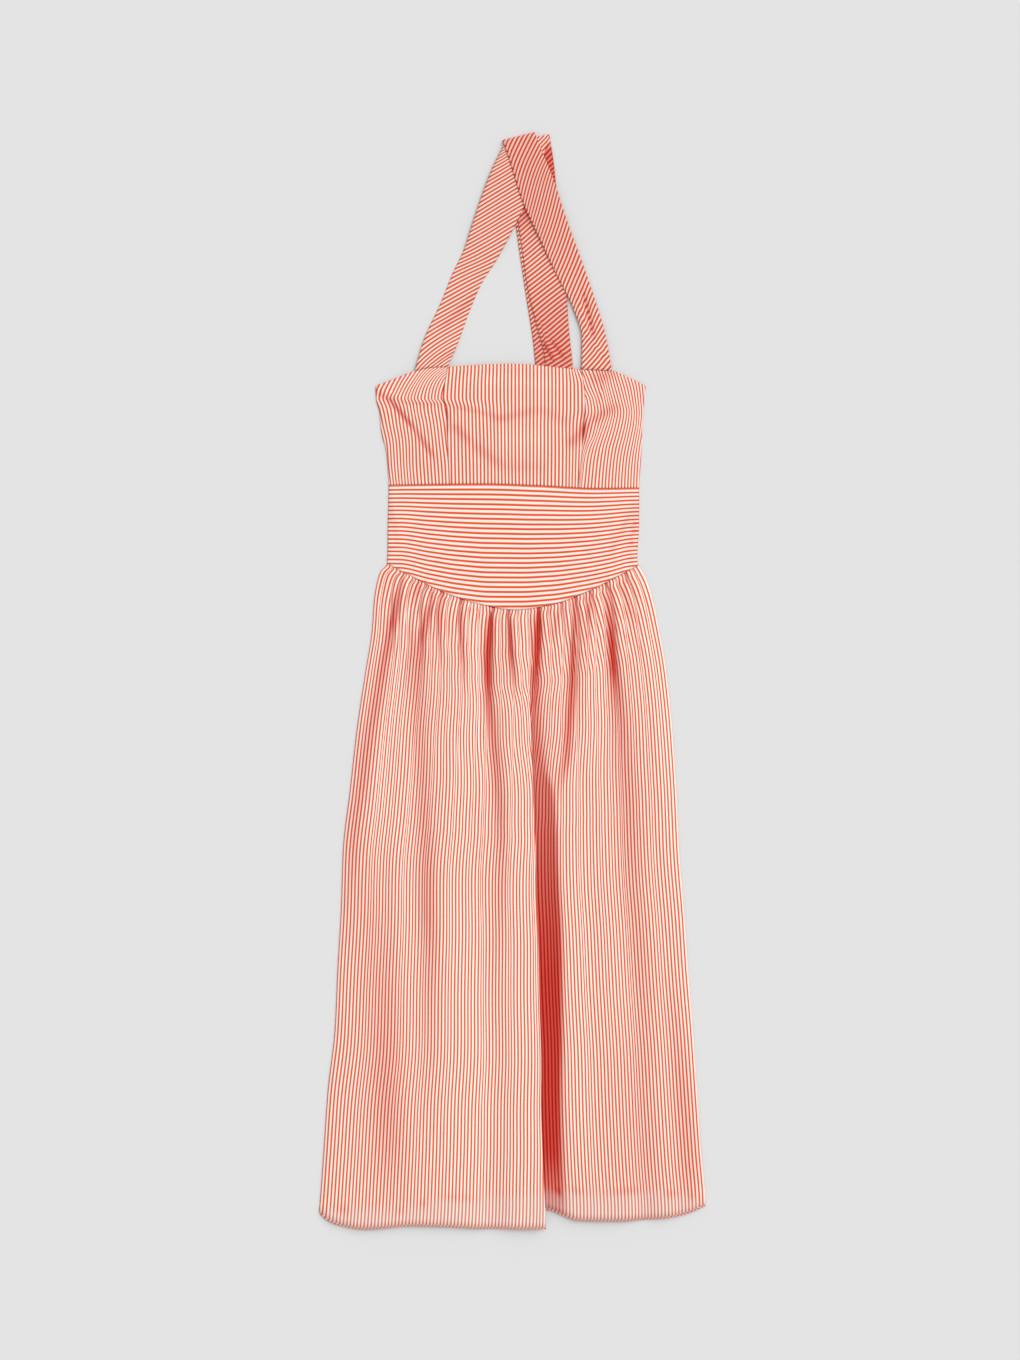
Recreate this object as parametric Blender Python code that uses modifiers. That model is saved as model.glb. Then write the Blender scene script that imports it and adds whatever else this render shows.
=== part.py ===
"""Halter dress, laid flat on a table with its front up.

The back panels lie flat on the table. The front panels lie on them, a little crowned, and the
gathered skirt front has its pleats and long folds. Two neck straps rise from the bodice, cross at
the nape, fold over and run down behind to the back bodice.

Across is measured in millimetres from the centre line, to the viewer's right. Drop is measured in
millimetres down the dress from the top of the neck loop.
"""

import math
from typing import NamedTuple

import bmesh
import bpy
import numpy as np

MM = 0.001

# Driving sizes, in millimetres
LENGTH = 1589.0
CLOTH = 1.2
SEAM_GAP = 0.3
LAYER_GAP = 0.6
FRONT_BASE = CLOTH + SEAM_GAP
BACK_NECK_DROP = 384.0
BASQUE_STEPS = 24

# Finish of the striped cotton, averaged over its stripes
CLOTH_COLOUR = (0.90, 0.47, 0.38, 1.0)
CLOTH_ROUGHNESS = 0.85


class Side(NamedTuple):
    """Where the two side edges of the dress are at one drop."""

    drop: float
    left: float
    right: float


SIDES = [
    Side(341, -197, 194),
    Side(368, -197, 194),
    Side(389, -196, 192),
    Side(403, -192, 191),
    Side(432, -189, 189),
    Side(468, -181, 188),
    Side(515, -178, 185),
    Side(563, -179, 185),
    Side(621, -180, 182),
    Side(628, -181, 184),
    Side(636, -189, 189),
    Side(650, -194, 196),
    Side(679, -199, 205),
    Side(722, -202, 214),
    Side(780, -211, 224),
    Side(867, -224, 233),
    Side(954, -234, 239),
    Side(1041, -244, 243),
    Side(1128, -247, 250),
    Side(1215, -252, 256),
    Side(1302, -256, 263),
    Side(1389, -266, 269),
    Side(1476, -272, 275),
    Side(1556, -278, 281),
    Side(1566, -279, 280),
]


class Edge(NamedTuple):
    """How far down a cut edge lies at one share of the way across its panel."""

    share: float
    drop: float


LEFT_ARMHOLE = [Edge(0, 368), Edge(0.27, 358), Edge(0.52, 348), Edge(0.77, 342), Edge(1, 341)]
NECKLINE = [Edge(0, 341), Edge(0.45, 336.5), Edge(1, 345)]
RIGHT_ARMHOLE = [Edge(0, 345), Edge(0.476, 347), Edge(0.75, 357), Edge(1, 368)]
UNDERBUST = [Edge(0, 512), Edge(0.38, 510.5), Edge(0.6, 513), Edge(0.83, 517), Edge(1, 516)]
BASQUE = [
    Edge(0, 626),
    Edge(0.128, 650),
    Edge(0.223, 667),
    Edge(0.366, 684.5),
    Edge(0.505, 693),
    Edge(0.648, 686),
    Edge(0.794, 667),
    Edge(0.913, 645),
    Edge(1, 628),
]
HEM = [
    Edge(0, 1566),
    Edge(0.026, 1578),
    Edge(0.067, 1585),
    Edge(0.117, 1589),
    Edge(0.236, 1584),
    Edge(0.332, 1585),
    Edge(0.43, 1588),
    Edge(0.555, 1588),
    Edge(0.58, 1582),
    Edge(0.605, 1560),
    Edge(0.63, 1568),
    Edge(0.673, 1576),
    Edge(0.762, 1577),
    Edge(0.93, 1570),
    Edge(1, 1556),
]
BACK_HEM = [
    Edge(0, 1564),
    Edge(0.2, 1564),
    Edge(0.32, 1547),
    Edge(0.5, 1545),
    Edge(0.7, 1535),
    Edge(0.95, 1543),
    Edge(1, 1552),
]


class SeamPoint(NamedTuple):
    """Where the two seams beside the bodice centre are at one drop."""

    drop: float
    left: float
    right: float


BODICE_SEAMS = [
    SeamPoint(341, -92.4, 100.8),
    SeamPoint(386, -99.5, 106.1),
    SeamPoint(400, -94.5, 106.3),
    SeamPoint(434, -93.5, 103.2),
    SeamPoint(464, -92.0, 101.6),
    SeamPoint(515, -89.5, 96.4),
]


class Crown(NamedTuple):
    """How far the middle of the front stands off its side seams, and how square its section is."""

    drop: float
    rise: float
    squareness: float


CROWNS = [
    Crown(336, 4.0, 3.0),
    Crown(400, 5.5, 3.0),
    Crown(440, 7.0, 3.0),
    Crown(515, 4.5, 3.2),
    Crown(563, 4.8, 3.4),
    Crown(690, 5.5, 4.0),
    Crown(760, 8.0, 5.0),
    Crown(900, 9.5, 6.0),
    Crown(1450, 9.5, 7.0),
    Crown(1589, 5.5, 7.0),
]


class Crease(NamedTuple):
    """A crease between two gathers: its share across at the seam, where it drifts to, and its size."""

    seam: float
    low: float
    hem: float
    reach: float
    depth: float


CREASES = [
    Crease(0.022, 0.020, 0.020, 40, 1.4),
    Crease(0.053, 0.085, 0.085, 110, 2.8),
    Crease(0.077, 0.104, 0.104, 90, 2.0),
    Crease(0.110, 0.130, 0.130, 60, 2.0),
    Crease(0.159, 0.180, 0.180, 130, 3.2),
    Crease(0.190, 0.210, 0.210, 60, 1.8),
    Crease(0.218, 0.243, 0.245, 120, 3.0),
    Crease(0.255, 0.275, 0.278, 50, 1.6),
    Crease(0.299, 0.316, 0.316, 90, 2.8),
    Crease(0.335, 0.343, 0.343, 45, 1.6),
    Crease(0.372, 0.372, 0.375, 70, 2.2),
    Crease(0.423, 0.406, 0.420, 150, 3.8),
    Crease(0.452, 0.448, 0.455, 50, 1.8),
    Crease(0.484, 0.492, 0.490, 120, 3.2),
    Crease(0.520, 0.520, 0.525, 50, 1.8),
    Crease(0.560, 0.542, 0.554, 60, 2.0),
    Crease(0.604, 0.560, 0.572, 140, 4.0),
    Crease(0.640, 0.615, 0.622, 60, 1.8),
    Crease(0.693, 0.650, 0.655, 70, 2.6),
    Crease(0.722, 0.678, 0.685, 45, 1.4),
    Crease(0.746, 0.700, 0.712, 150, 3.4),
    Crease(0.780, 0.738, 0.745, 50, 1.8),
    Crease(0.806, 0.765, 0.775, 80, 2.6),
    Crease(0.838, 0.800, 0.808, 50, 1.8),
    Crease(0.870, 0.832, 0.840, 170, 3.8),
    Crease(0.905, 0.880, 0.882, 60, 2.0),
    Crease(0.944, 0.922, 0.922, 80, 2.4),
    Crease(0.975, 0.966, 0.966, 40, 1.4),
]
CREASE_DRIFT = 150.0
GATHER_ONSET = 12.0
GATHER_AT_SEAM = 0.45
GATHER_PUFF = 0.3
COLUMNS_PER_GATHER = 4
SIDE_ROLL = 12.0
CLOSEST = 0.8
SKIRT_ROWS = [0, 7, 16, 30, 50, 78, 115, 165, 235, 320, 385, 450, 560, 690, 820, 938]


class LongFold(NamedTuple):
    """A soft trough down the skirt: share across, start and end below the seam, depth and half width."""

    high: float
    low: float
    start: float
    end: float
    depth: float
    width: float


LONG_FOLDS = [
    LongFold(0.095, 0.135, 30, 760, 5.5, 17),
    LongFold(0.185, 0.245, 60, 930, 6.5, 19),
    LongFold(0.405, 0.455, 20, 420, 4.5, 12),
    LongFold(0.440, 0.450, 350, 938, 4.0, 20),
    LongFold(0.700, 0.690, 20, 330, 3.5, 12),
    LongFold(0.822, 0.838, 20, 938, 6.8, 17),
    LongFold(0.930, 0.940, 300, 938, 3.5, 13),
]
FOLD_STARTS_OVER = 0.2
FOLD_ENDS_OVER = 0.33


class DeepFold(NamedTuple):
    """The fold whose left flap hangs over a narrow valley. Its steps are counted in half shares."""

    share_high: float
    share_low: float
    start: float
    full: float
    half_share: float
    overhang: float
    floor: float
    wall_start: float
    wall_steps: float
    lip: float
    lip_at: float
    lip_steps: float


DEEP_FOLD = DeepFold(
    share_high=0.566, share_low=0.576, start=190, full=420, half_share=0.02, overhang=5.0,
    floor=1.0, wall_start=2.4, wall_steps=1.8, lip=3.5, lip_at=-1.5, lip_steps=3.0,
)


class Section(NamedTuple):
    """One section of a strap: its left and right edge points and the height of its mid surface."""

    left_across: float
    left_drop: float
    right_across: float
    right_drop: float
    height: float


LAYER = CLOTH + LAYER_GAP
ON_TABLE = CLOTH / 2
SECOND = ON_TABLE + LAYER
THIRD = SECOND + LAYER
FOURTH = THIRD + LAYER

STRAP_LEFT_FRONT = [
    Section(-127, 302, -80, 312, 3.4),
    Section(-101, 244, -60, 258, ON_TABLE),
    Section(-85, 204, -43, 219, ON_TABLE),
    Section(-69, 171, -22, 186, 2.4),
    Section(-55, 128, 2, 142, THIRD),
    Section(-29, 58, 34, 72, THIRD),
    Section(0, 15.5, 55, 5.0, THIRD),
]
STRAP_LEFT_RETURN = [
    Section(0, 15.5, 55, 5.0, SECOND),
    Section(4, 50, 61, 44, SECOND),
    Section(6, 99, 66, 92, SECOND),
    Section(15, 171, 75, 167, SECOND),
    Section(24, 231, 80, 232, SECOND),
    Section(38, 287, 83, 285, SECOND),
    Section(48, 328, 88, 333, SECOND),
    Section(52, 397, 92, 397, SECOND),
]
STRAP_RIGHT_FRONT = [
    Section(102, 300, 136, 294, 4.8),
    Section(89, 255, 121, 244, THIRD),
    Section(65, 207, 104, 194, 4.6),
    Section(40, 154, 81, 131, FOURTH),
    Section(15, 99, 59, 65, FOURTH),
    Section(-3, 42, 43, 26, FOURTH),
    Section(-12, 15.0, 34, 3.4, FOURTH),
]
STRAP_RIGHT_RETURN = [
    Section(-12, 15.0, 34, 3.4, ON_TABLE),
    Section(-7, 55, 43, 48, ON_TABLE),
    Section(1, 99, 50, 91, ON_TABLE),
    Section(10, 164, 58, 161, ON_TABLE),
    Section(22, 244, 66, 238, ON_TABLE),
    Section(31, 302, 71, 299, ON_TABLE),
    Section(35, 341, 77, 341, ON_TABLE),
    Section(41, BACK_NECK_DROP - SEAM_GAP, 79, BACK_NECK_DROP - SEAM_GAP, ON_TABLE),
]
STRAP_COLUMNS = 5
STRAP_STEP = 20.0
FOLD_STEPS = 6

# Where the side panels' shares of the underbust end, and the straps' shares of their top edges
LEFT_PANEL_END = 0.245
RIGHT_PANEL_START = 0.757
LEFT_STRAP_START = 0.549
RIGHT_STRAP_END = 0.476

# How finely the bodice and band panels are divided
SIDE_PANEL_COLUMNS = 8
CENTRE_PANEL_COLUMNS = 14
BODICE_ROWS = 9
BAND_COLUMNS = 30
BAND_ROWS = 8
BACK_SIDE_POINTS = 8
BAND_SIDE_POINTS = 5


def smooth(xs, ys):
    """A smooth curve through the points that never swings past them, as a function of x."""
    xs, ys = np.asarray(xs, float), np.asarray(ys, float)
    steps = np.diff(xs)
    slopes = np.diff(ys) / steps
    tangents = np.zeros_like(ys)
    same_way = slopes[:-1] * slopes[1:] > 0
    weight_a, weight_b = 2 * steps[1:] + steps[:-1], steps[1:] + 2 * steps[:-1]
    safe = np.where(same_way, slopes[:-1] * slopes[1:], 1.0)
    mean = (weight_a + weight_b) * safe / (weight_a * slopes[1:] + weight_b * slopes[:-1] + 1e-12)
    tangents[1:-1] = np.where(same_way, mean, 0.0)
    tangents[0], tangents[-1] = slopes[0], slopes[-1]

    def value(x):
        x = np.clip(x, xs[0], xs[-1])
        i = np.clip(np.searchsorted(xs, x) - 1, 0, len(steps) - 1)
        t = (x - xs[i]) / steps[i]
        a, b = ys[i], ys[i + 1]
        run = steps[i]
        return (
            a * (1 + 2 * t) * (1 - t) ** 2
            + b * t * t * (3 - 2 * t)
            + run * tangents[i] * t * (1 - t) ** 2
            - run * tangents[i + 1] * t * t * (1 - t)
        )

    return value


def ease(t):
    """Goes from 0 to 1 without a jolt at either end."""
    t = np.clip(t, 0.0, 1.0)
    return t * t * (3 - 2 * t)


def edge_curve(rows):
    """The drop of a cut edge as a function of the share across."""
    return smooth([r.share for r in rows], [r.drop for r in rows])


side_drops = [s.drop for s in SIDES]
side_left = smooth(side_drops, [s.left for s in SIDES])
side_right = smooth(side_drops, [s.right for s in SIDES])
seam_drops = [s.drop for s in BODICE_SEAMS]
seam_left = smooth(seam_drops, [s.left for s in BODICE_SEAMS])
seam_right = smooth(seam_drops, [s.right for s in BODICE_SEAMS])
crown_rise = smooth([c.drop for c in CROWNS], [c.rise for c in CROWNS])
crown_square = smooth([c.drop for c in CROWNS], [c.squareness for c in CROWNS])
underbust = edge_curve(UNDERBUST)
basque = edge_curve(BASQUE)
hem = edge_curve(HEM)


def band_left(drop):
    """The band's left side, which ends where the skirt's begins."""
    return side_left(np.minimum(drop, BASQUE[0].drop))


def band_right(drop):
    """The band's right side, which ends where the skirt's begins."""
    return side_right(np.minimum(drop, BASQUE[-1].drop))


def place(across, drop, height):
    """A point of the dress in metres, from its measures in millimetres."""
    return across * MM, (LENGTH / 2 - drop) * MM, height * MM


def front_height(across, drop):
    """Height of the front's mid surface over the table at a place on the bodice or band."""
    left, right = band_left(drop), band_right(drop)
    off_centre = np.clip(abs(2 * (across - left) / (right - left) - 1), 0, 1)
    crown = crown_rise(drop) * (1 - off_centre ** crown_square(drop))
    return FRONT_BASE + CLOTH / 2 + crown


def new_material(name):
    """The plain cloth finish of one piece."""
    material = bpy.data.materials.new(name + "_cotton")
    material.use_nodes = True
    shader = material.node_tree.nodes["Principled BSDF"]
    shader.inputs["Base Color"].default_value = CLOTH_COLOUR
    shader.inputs["Roughness"].default_value = CLOTH_ROUGHNESS
    shader.inputs["Metallic"].default_value = 0.0
    material.diffuse_color = CLOTH_COLOUR
    return material


def add_panel(collection, name, rows):
    """A sewn piece from its mid surface, rows of points from top to bottom, given the cloth's thickness."""
    bm = bmesh.new()
    grid = [[bm.verts.new(point) for point in row] for row in rows]
    for upper, lower in zip(grid, grid[1:]):
        for a, b, c, d in zip(upper, lower, lower[1:], upper[1:]):
            bm.faces.new((a, b, c, d))
    mesh = bpy.data.meshes.new(name)
    bm.to_mesh(mesh)
    bm.free()
    mesh.shade_smooth()
    mesh.materials.append(new_material(name))
    piece = bpy.data.objects.new(name, mesh)
    collection.objects.link(piece)
    wall = piece.modifiers.new("cloth", "SOLIDIFY")
    wall.thickness = CLOTH * MM
    wall.offset = 0.0
    wall.use_even_offset = True
    return piece


def add_flat_panel(collection, name, outline):
    """A back panel that lies flat on the table, from its outline in across and drop."""
    curve = bpy.data.curves.new(name, "CURVE")
    curve.dimensions = "2D"
    curve.fill_mode = "BOTH"
    curve.extrude = CLOTH / 2 * MM
    spline = curve.splines.new("POLY")
    spline.points.add(len(outline) - 1)
    for point, (across, drop) in zip(spline.points, outline):
        x, y, _ = place(across, drop, 0)
        point.co = (x, y, 0, 1)
    spline.use_cyclic_u = True
    curve.materials.append(new_material(name))
    piece = bpy.data.objects.new(name, curve)
    piece.location.z = CLOTH / 2 * MM
    collection.objects.link(piece)
    return piece


def bodice_point(top, bottom, left, right, share, down):
    """A point on a bodice or band panel between its four boundaries."""
    drop = top(share) + (bottom(share) - top(share)) * down
    across = left(drop) + (right(drop) - left(drop)) * share
    return place(across, drop, front_height(across, drop))


def bodice_panel(collection, name, top, bottom, left, right, columns, rows):
    """A bodice or band panel between its top and bottom edges and its two sides."""
    shares = np.linspace(0, 1, columns + 1)
    downs = np.linspace(0, 1, rows + 1)
    grid = [[bodice_point(top, bottom, left, right, s, d) for s in shares] for d in downs]
    return add_panel(collection, name, grid)


def add_bodice(collection):
    """The three front panels over the flat back panel."""
    half = SEAM_GAP / 2

    def underbust_between(first, last):
        return lambda share: underbust(first + (last - first) * share) - half

    bodice_panel(
        collection, "bodice_side_left", edge_curve(LEFT_ARMHOLE), underbust_between(0, LEFT_PANEL_END),
        side_left, lambda d: seam_left(d) - half, SIDE_PANEL_COLUMNS, BODICE_ROWS,
    )
    bodice_panel(
        collection, "bodice_centre", edge_curve(NECKLINE),
        underbust_between(LEFT_PANEL_END, RIGHT_PANEL_START),
        lambda d: seam_left(d) + half, lambda d: seam_right(d) - half,
        CENTRE_PANEL_COLUMNS, BODICE_ROWS,
    )
    bodice_panel(
        collection, "bodice_side_right", edge_curve(RIGHT_ARMHOLE),
        underbust_between(RIGHT_PANEL_START, 1),
        lambda d: seam_right(d) + half, side_right, SIDE_PANEL_COLUMNS, BODICE_ROWS,
    )
    drops = np.linspace(BACK_NECK_DROP, underbust(0.5) - half, BACK_SIDE_POINTS)
    outline = [(side_left(d), d) for d in drops] + [(side_right(d), d) for d in reversed(drops)]
    add_flat_panel(collection, "bodice_back", outline)


def basque_line():
    """The seam between band and skirt, from side to side."""
    left, right = band_left(BASQUE[0].drop), band_right(BASQUE[-1].drop)
    return [(left + (right - left) * s, basque(s)) for s in np.linspace(0, 1, BASQUE_STEPS + 1)]


def add_waistband(collection):
    """The midriff band, straight at the top and dipping to a rounded point at the front and back."""
    half = SEAM_GAP / 2
    bodice_panel(
        collection, "waistband_front", lambda s: underbust(s) + half, lambda s: basque(s) - half,
        band_left, band_right, BAND_COLUMNS, BAND_ROWS,
    )
    top = underbust(0.5) + half
    sides = np.linspace(top, BASQUE[0].drop - half, BAND_SIDE_POINTS)[:-1]
    outline = [(band_right(d), d) for d in sides]
    outline += [(across, drop - half) for across, drop in reversed(basque_line())]
    outline += [(band_left(d), d) for d in reversed(sides)]
    add_flat_panel(collection, "waistband_back", outline)


def lift_off(rise, least):
    """Keeps a trough just off the back panel, softly: a rise of 0 becomes the least one."""
    return (rise + math.sqrt(rise * rise + 4 * least * least)) / 2


def crease_shares(below):
    """Where the creases, and the two side edges, are across the skirt at one distance below the seam."""
    drift = ease(below / CREASE_DRIFT)
    settle = ease((below - CREASE_DRIFT) / (SKIRT_ROWS[-1] - CREASE_DRIFT))
    middle = [c.seam + (c.low - c.seam) * drift + (c.hem - c.low) * settle for c in CREASES]
    return [0.0, *middle, 1.0]


def crease_depths(below):
    """How deep each crease is at one distance below the seam; the side edges have none."""
    onset = GATHER_AT_SEAM + (1 - GATHER_AT_SEAM) * ease(below / GATHER_ONSET)
    middle = [c.depth * onset * math.exp(-((below / c.reach) ** 2)) for c in CREASES]
    return [0.0, *middle, 0.0]


def gather_row(below):
    """The shares across, and the heights the gathers add, of one row of the skirt."""
    shares, depths = crease_shares(below), crease_depths(below)
    row = []
    for s0, s1, d0, d1 in zip(shares, shares[1:], depths, depths[1:]):
        for k in range(COLUMNS_PER_GATHER):
            t = k / COLUMNS_PER_GATHER
            low = -(d0 + (d1 - d0) * t)
            crest = GATHER_PUFF * (d0 + d1) / 2
            row.append((s0 + (s1 - s0) * t, low + (crest - low) * math.sin(math.pi * t)))
    row.append((1.0, 0.0))
    return row


def long_fold_dip(share, below, width):
    """How far the long soft folds lower the skirt at a place."""
    dip = 0.0
    for fold in LONG_FOLDS:
        along = (below - fold.start) / (fold.end - fold.start)
        if 0 < along < 1 or (along >= 1 and fold.end >= SKIRT_ROWS[-1]):
            centre = fold.high + (fold.low - fold.high) * ease(along)
            fade = ease(along / FOLD_STARTS_OVER)
            if fold.end < SKIRT_ROWS[-1]:
                fade *= ease((1 - along) / FOLD_ENDS_OVER)
            dip += fold.depth * fade * math.exp(-(((share - centre) * width / fold.width) ** 2))
    return dip


def deep_fold_form(share, below, width):
    """What the deep fold does at a place: its push sideways, its share of the valley, and its lip."""
    fold = DEEP_FOLD
    strength = ease((below - fold.start) / (fold.full - fold.start))
    centre = fold.share_high + (fold.share_low - fold.share_high) * ease(below / SKIRT_ROWS[-1])
    steps = (share - centre) / fold.half_share
    push = fold.half_share * width + fold.overhang
    shift = -strength * push * steps * math.exp((1 - steps * steps) / 2)
    valley = ease((steps + 1) / 2) * (1 - ease((steps - fold.wall_start) / fold.wall_steps))
    lip = fold.lip * math.exp(-(((steps - fold.lip_at) / fold.lip_steps) ** 2))
    return shift, strength * valley, strength * lip


def side_stations(top, bottom):
    """The drops at which a skirt side has a point, as close together as the front's rows."""
    return [top + (bottom - top) * below / SKIRT_ROWS[-1] for below in SKIRT_ROWS[1:-1]]


def add_skirt(collection):
    """The gathered skirt front over the flat skirt back."""
    half = SEAM_GAP / 2
    length = SKIRT_ROWS[-1]
    left_hem, right_hem = HEM[0].drop, HEM[-1].drop
    left_top, right_top = BASQUE[0].drop + half, BASQUE[-1].drop + half
    rows = []
    for below in SKIRT_ROWS:
        down = below / length
        left = side_left(left_top + (left_hem - left_top) * down)
        right = side_right(right_top + (right_hem - right_top) * down)
        width = right - left
        row = []
        for share, gather in gather_row(below):
            top = basque(share) + half
            drop = top + (hem(share) - top) * down
            across = left + width * share
            crown = crown_rise(drop) * (1 - abs(2 * share - 1) ** crown_square(drop))
            rise = crown + gather - long_fold_dip(share, below, width)
            shift, valley, lip = deep_fold_form(share, below, width)
            rise += lip
            rise += (DEEP_FOLD.floor - rise) * valley
            inside = min(1.0, min(share, 1 - share) * width / SIDE_ROLL)
            rise = lift_off(rise, CLOSEST * inside)
            row.append(place(across + shift, drop, FRONT_BASE + CLOTH / 2 + rise))
        rows.append(row)
    add_panel(collection, "skirt_front", rows)

    back_hem = edge_curve(BACK_HEM)
    left_end, right_end = BACK_HEM[0].drop, BACK_HEM[-1].drop
    hem_left, hem_right = side_left(left_end), side_right(right_end)
    shares = np.linspace(1, 0, BASQUE_STEPS + 1)
    outline = [(across, drop + half) for across, drop in basque_line()]
    outline += [(side_right(d), d) for d in side_stations(right_top, right_end)]
    outline += [(hem_left + (hem_right - hem_left) * s, back_hem(s)) for s in shares]
    outline += [(side_left(d), d) for d in reversed(side_stations(left_top, left_end))]
    add_flat_panel(collection, "skirt_back", outline)


def strap_rows(sections, first_row):
    """Rows of points along one run of a strap, smoothly through its sections."""
    mids = [((s.left_across + s.right_across) / 2, (s.left_drop + s.right_drop) / 2) for s in sections]
    stations = np.concatenate([[0], np.cumsum([math.dist(a, b) for a, b in zip(mids, mids[1:])])])
    curves = [smooth(stations, column) for column in zip(*sections)]
    count = max(2, round(stations[-1] / STRAP_STEP))
    rows = [first_row] if first_row else []
    for station in np.linspace(0, stations[-1], count + 1):
        left_across, left_drop, right_across, right_drop, height = (c(station) for c in curves)
        rows.append([
            place(
                left_across + (right_across - left_across) * t,
                left_drop + (right_drop - left_drop) * t,
                height,
            )
            for t in np.linspace(0, 1, STRAP_COLUMNS + 1)
        ])
    return rows


def fold_rows(upper, lower):
    """Rows round the fold at the nape, from the strap's upper layer to its lower one."""
    left, right = np.array(upper[0]), np.array(upper[-1])
    along = (right - left)[:2]
    outward = np.array([-along[1], along[0]]) / np.linalg.norm(along)
    radius = (upper[0][2] - lower[0][2]) / 2
    middle = (upper[0][2] + lower[0][2]) / 2
    rows = []
    for step in range(1, FOLD_STEPS):
        angle = math.pi * step / FOLD_STEPS
        reach = radius * math.sin(angle)
        rows.append([
            (x + outward[0] * reach, y + outward[1] * reach, middle + radius * math.cos(angle))
            for x, y, _ in upper
        ])
    return rows


def strap_base(top, left, right, first, last):
    """The strap's lower end, along the bodice panel's top edge."""
    row = []
    for t in np.linspace(0, 1, STRAP_COLUMNS + 1):
        share = first + (last - first) * t
        x, y, z = bodice_point(top, underbust, left, right, share, 0)
        row.append((x, y + SEAM_GAP * MM, z))
    return row


def add_straps(collection):
    """The two neck straps, each one piece from the front bodice over the nape to the back bodice."""
    half = SEAM_GAP / 2
    left_base = strap_base(
        edge_curve(LEFT_ARMHOLE), side_left, lambda d: seam_left(d) - half, LEFT_STRAP_START, 1
    )
    right_base = strap_base(
        edge_curve(RIGHT_ARMHOLE), lambda d: seam_right(d) + half, side_right, 0, RIGHT_STRAP_END
    )
    for name, base, front, back in (
        ("strap_left", left_base, STRAP_LEFT_FRONT, STRAP_LEFT_RETURN),
        ("strap_right", right_base, STRAP_RIGHT_FRONT, STRAP_RIGHT_RETURN),
    ):
        upper = strap_rows(front, base)
        lower = strap_rows(back, None)
        rows = upper + fold_rows(upper[-1], lower[0]) + lower
        add_panel(collection, name, [list(reversed(row)) for row in rows])


def main():
    """Clears the scene and builds the dress."""
    for old in list(bpy.data.objects):
        bpy.data.objects.remove(old)
    dress = bpy.data.collections.new("halter_dress")
    bpy.context.scene.collection.children.link(dress)
    add_bodice(dress)
    add_waistband(dress)
    add_skirt(dress)
    add_straps(dress)


main()
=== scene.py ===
"""Halter dress in finely striped cotton, laid flat with its front up.

Across is measured in millimetres from the centre line, to the viewer's right. Drop is measured in
millimetres down the dress from the top of the neck loop, and height up from the table. Each cut
piece is a grid of cloth that knows which thread each of its points is on, so that the woven stripes
follow its folds.
"""

import logging
import math
from collections.abc import Callable, Sequence
from dataclasses import dataclass, field
from enum import Enum
from typing import NamedTuple

import bpy
import numpy as np
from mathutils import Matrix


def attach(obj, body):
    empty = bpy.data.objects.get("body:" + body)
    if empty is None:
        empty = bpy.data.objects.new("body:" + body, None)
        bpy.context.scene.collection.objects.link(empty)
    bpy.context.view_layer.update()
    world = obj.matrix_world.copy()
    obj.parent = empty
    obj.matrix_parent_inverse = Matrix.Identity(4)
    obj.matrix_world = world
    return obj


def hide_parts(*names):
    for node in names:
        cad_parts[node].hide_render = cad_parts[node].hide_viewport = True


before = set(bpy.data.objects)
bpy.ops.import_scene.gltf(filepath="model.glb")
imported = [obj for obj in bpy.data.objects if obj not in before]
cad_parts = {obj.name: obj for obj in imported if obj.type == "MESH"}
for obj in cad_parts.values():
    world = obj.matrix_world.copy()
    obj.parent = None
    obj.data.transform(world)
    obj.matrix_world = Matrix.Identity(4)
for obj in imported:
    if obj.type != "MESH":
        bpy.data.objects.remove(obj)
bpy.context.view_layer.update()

Curve = Callable[[np.ndarray], np.ndarray]
LOG = logging.getLogger("halter_dress")

MM = 0.001
BODY = "root"

# Driving sizes, in millimetres
LENGTH = 1589.0
WALL = 1.2
SEAM_GAP = 0.3
FRONT_BASE = WALL + SEAM_GAP
LOWEST_FRONT = FRONT_BASE - 0.4
LAYER = WALL + 0.6
BACK_NECK_DROP = 384.0
CLOTH = 0.5
STRAP_CLOTH = 1.0
STRIPE = 5.3
SKIRT_LENGTH = 938.0
SKIRT_CLOTH = 640.0
BACK_UNEVENNESS = 0.12

# Lengths of the slow waves in loose cloth, across and down, in millimetres a radian
RIPPLE_ACROSS = (17.0, 9.5, 38.0)
RIPPLE_DOWN = (61.0, 43.0, 27.0)

# Where the second and third of those waves start, how far the first bends and how high the third is
RIPPLE_PHASES = (0.8, 2.1)
RIPPLE_BEND = 1.3
RIPPLE_THIRD = 0.8

# Keeps a division by nothing from failing
TINY = 1e-6

# How far a crumple runs on past its two ends and over what length it fades, as shares of its own
CRUMPLE_OVERRUN = 0.15
CRUMPLE_FADE = 0.4

# Looks of the stripes: how far they waver in metres, how soft their edges are, how worn their threads
WAVER = 0.0006
WAVERS_A_METRE = 60.0
ALONG_STRETCH = 0.2
STRIPE_SOFTNESS = 0.10
THREADS_A_METRE = 900.0
WORN_LEAST = 0.90
WORN_SPREAD = 0.16
# Share of grey mixed in where the front lies in one layer: the table seen through the cloth, with its
# shadow painted
SINGLE_LAYER_SHARE = 0.22

# Looks of the weave: how much its crossings stand out, and how its slubs vary
CROSSING_SHARE = 0.5
SLUBS_A_METRE = 260.0
SLUB_ROUGHNESS = 0.12


class Side(NamedTuple):
    """Where the two side edges of the dress are at one drop."""

    drop: float
    left: float
    right: float


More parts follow.
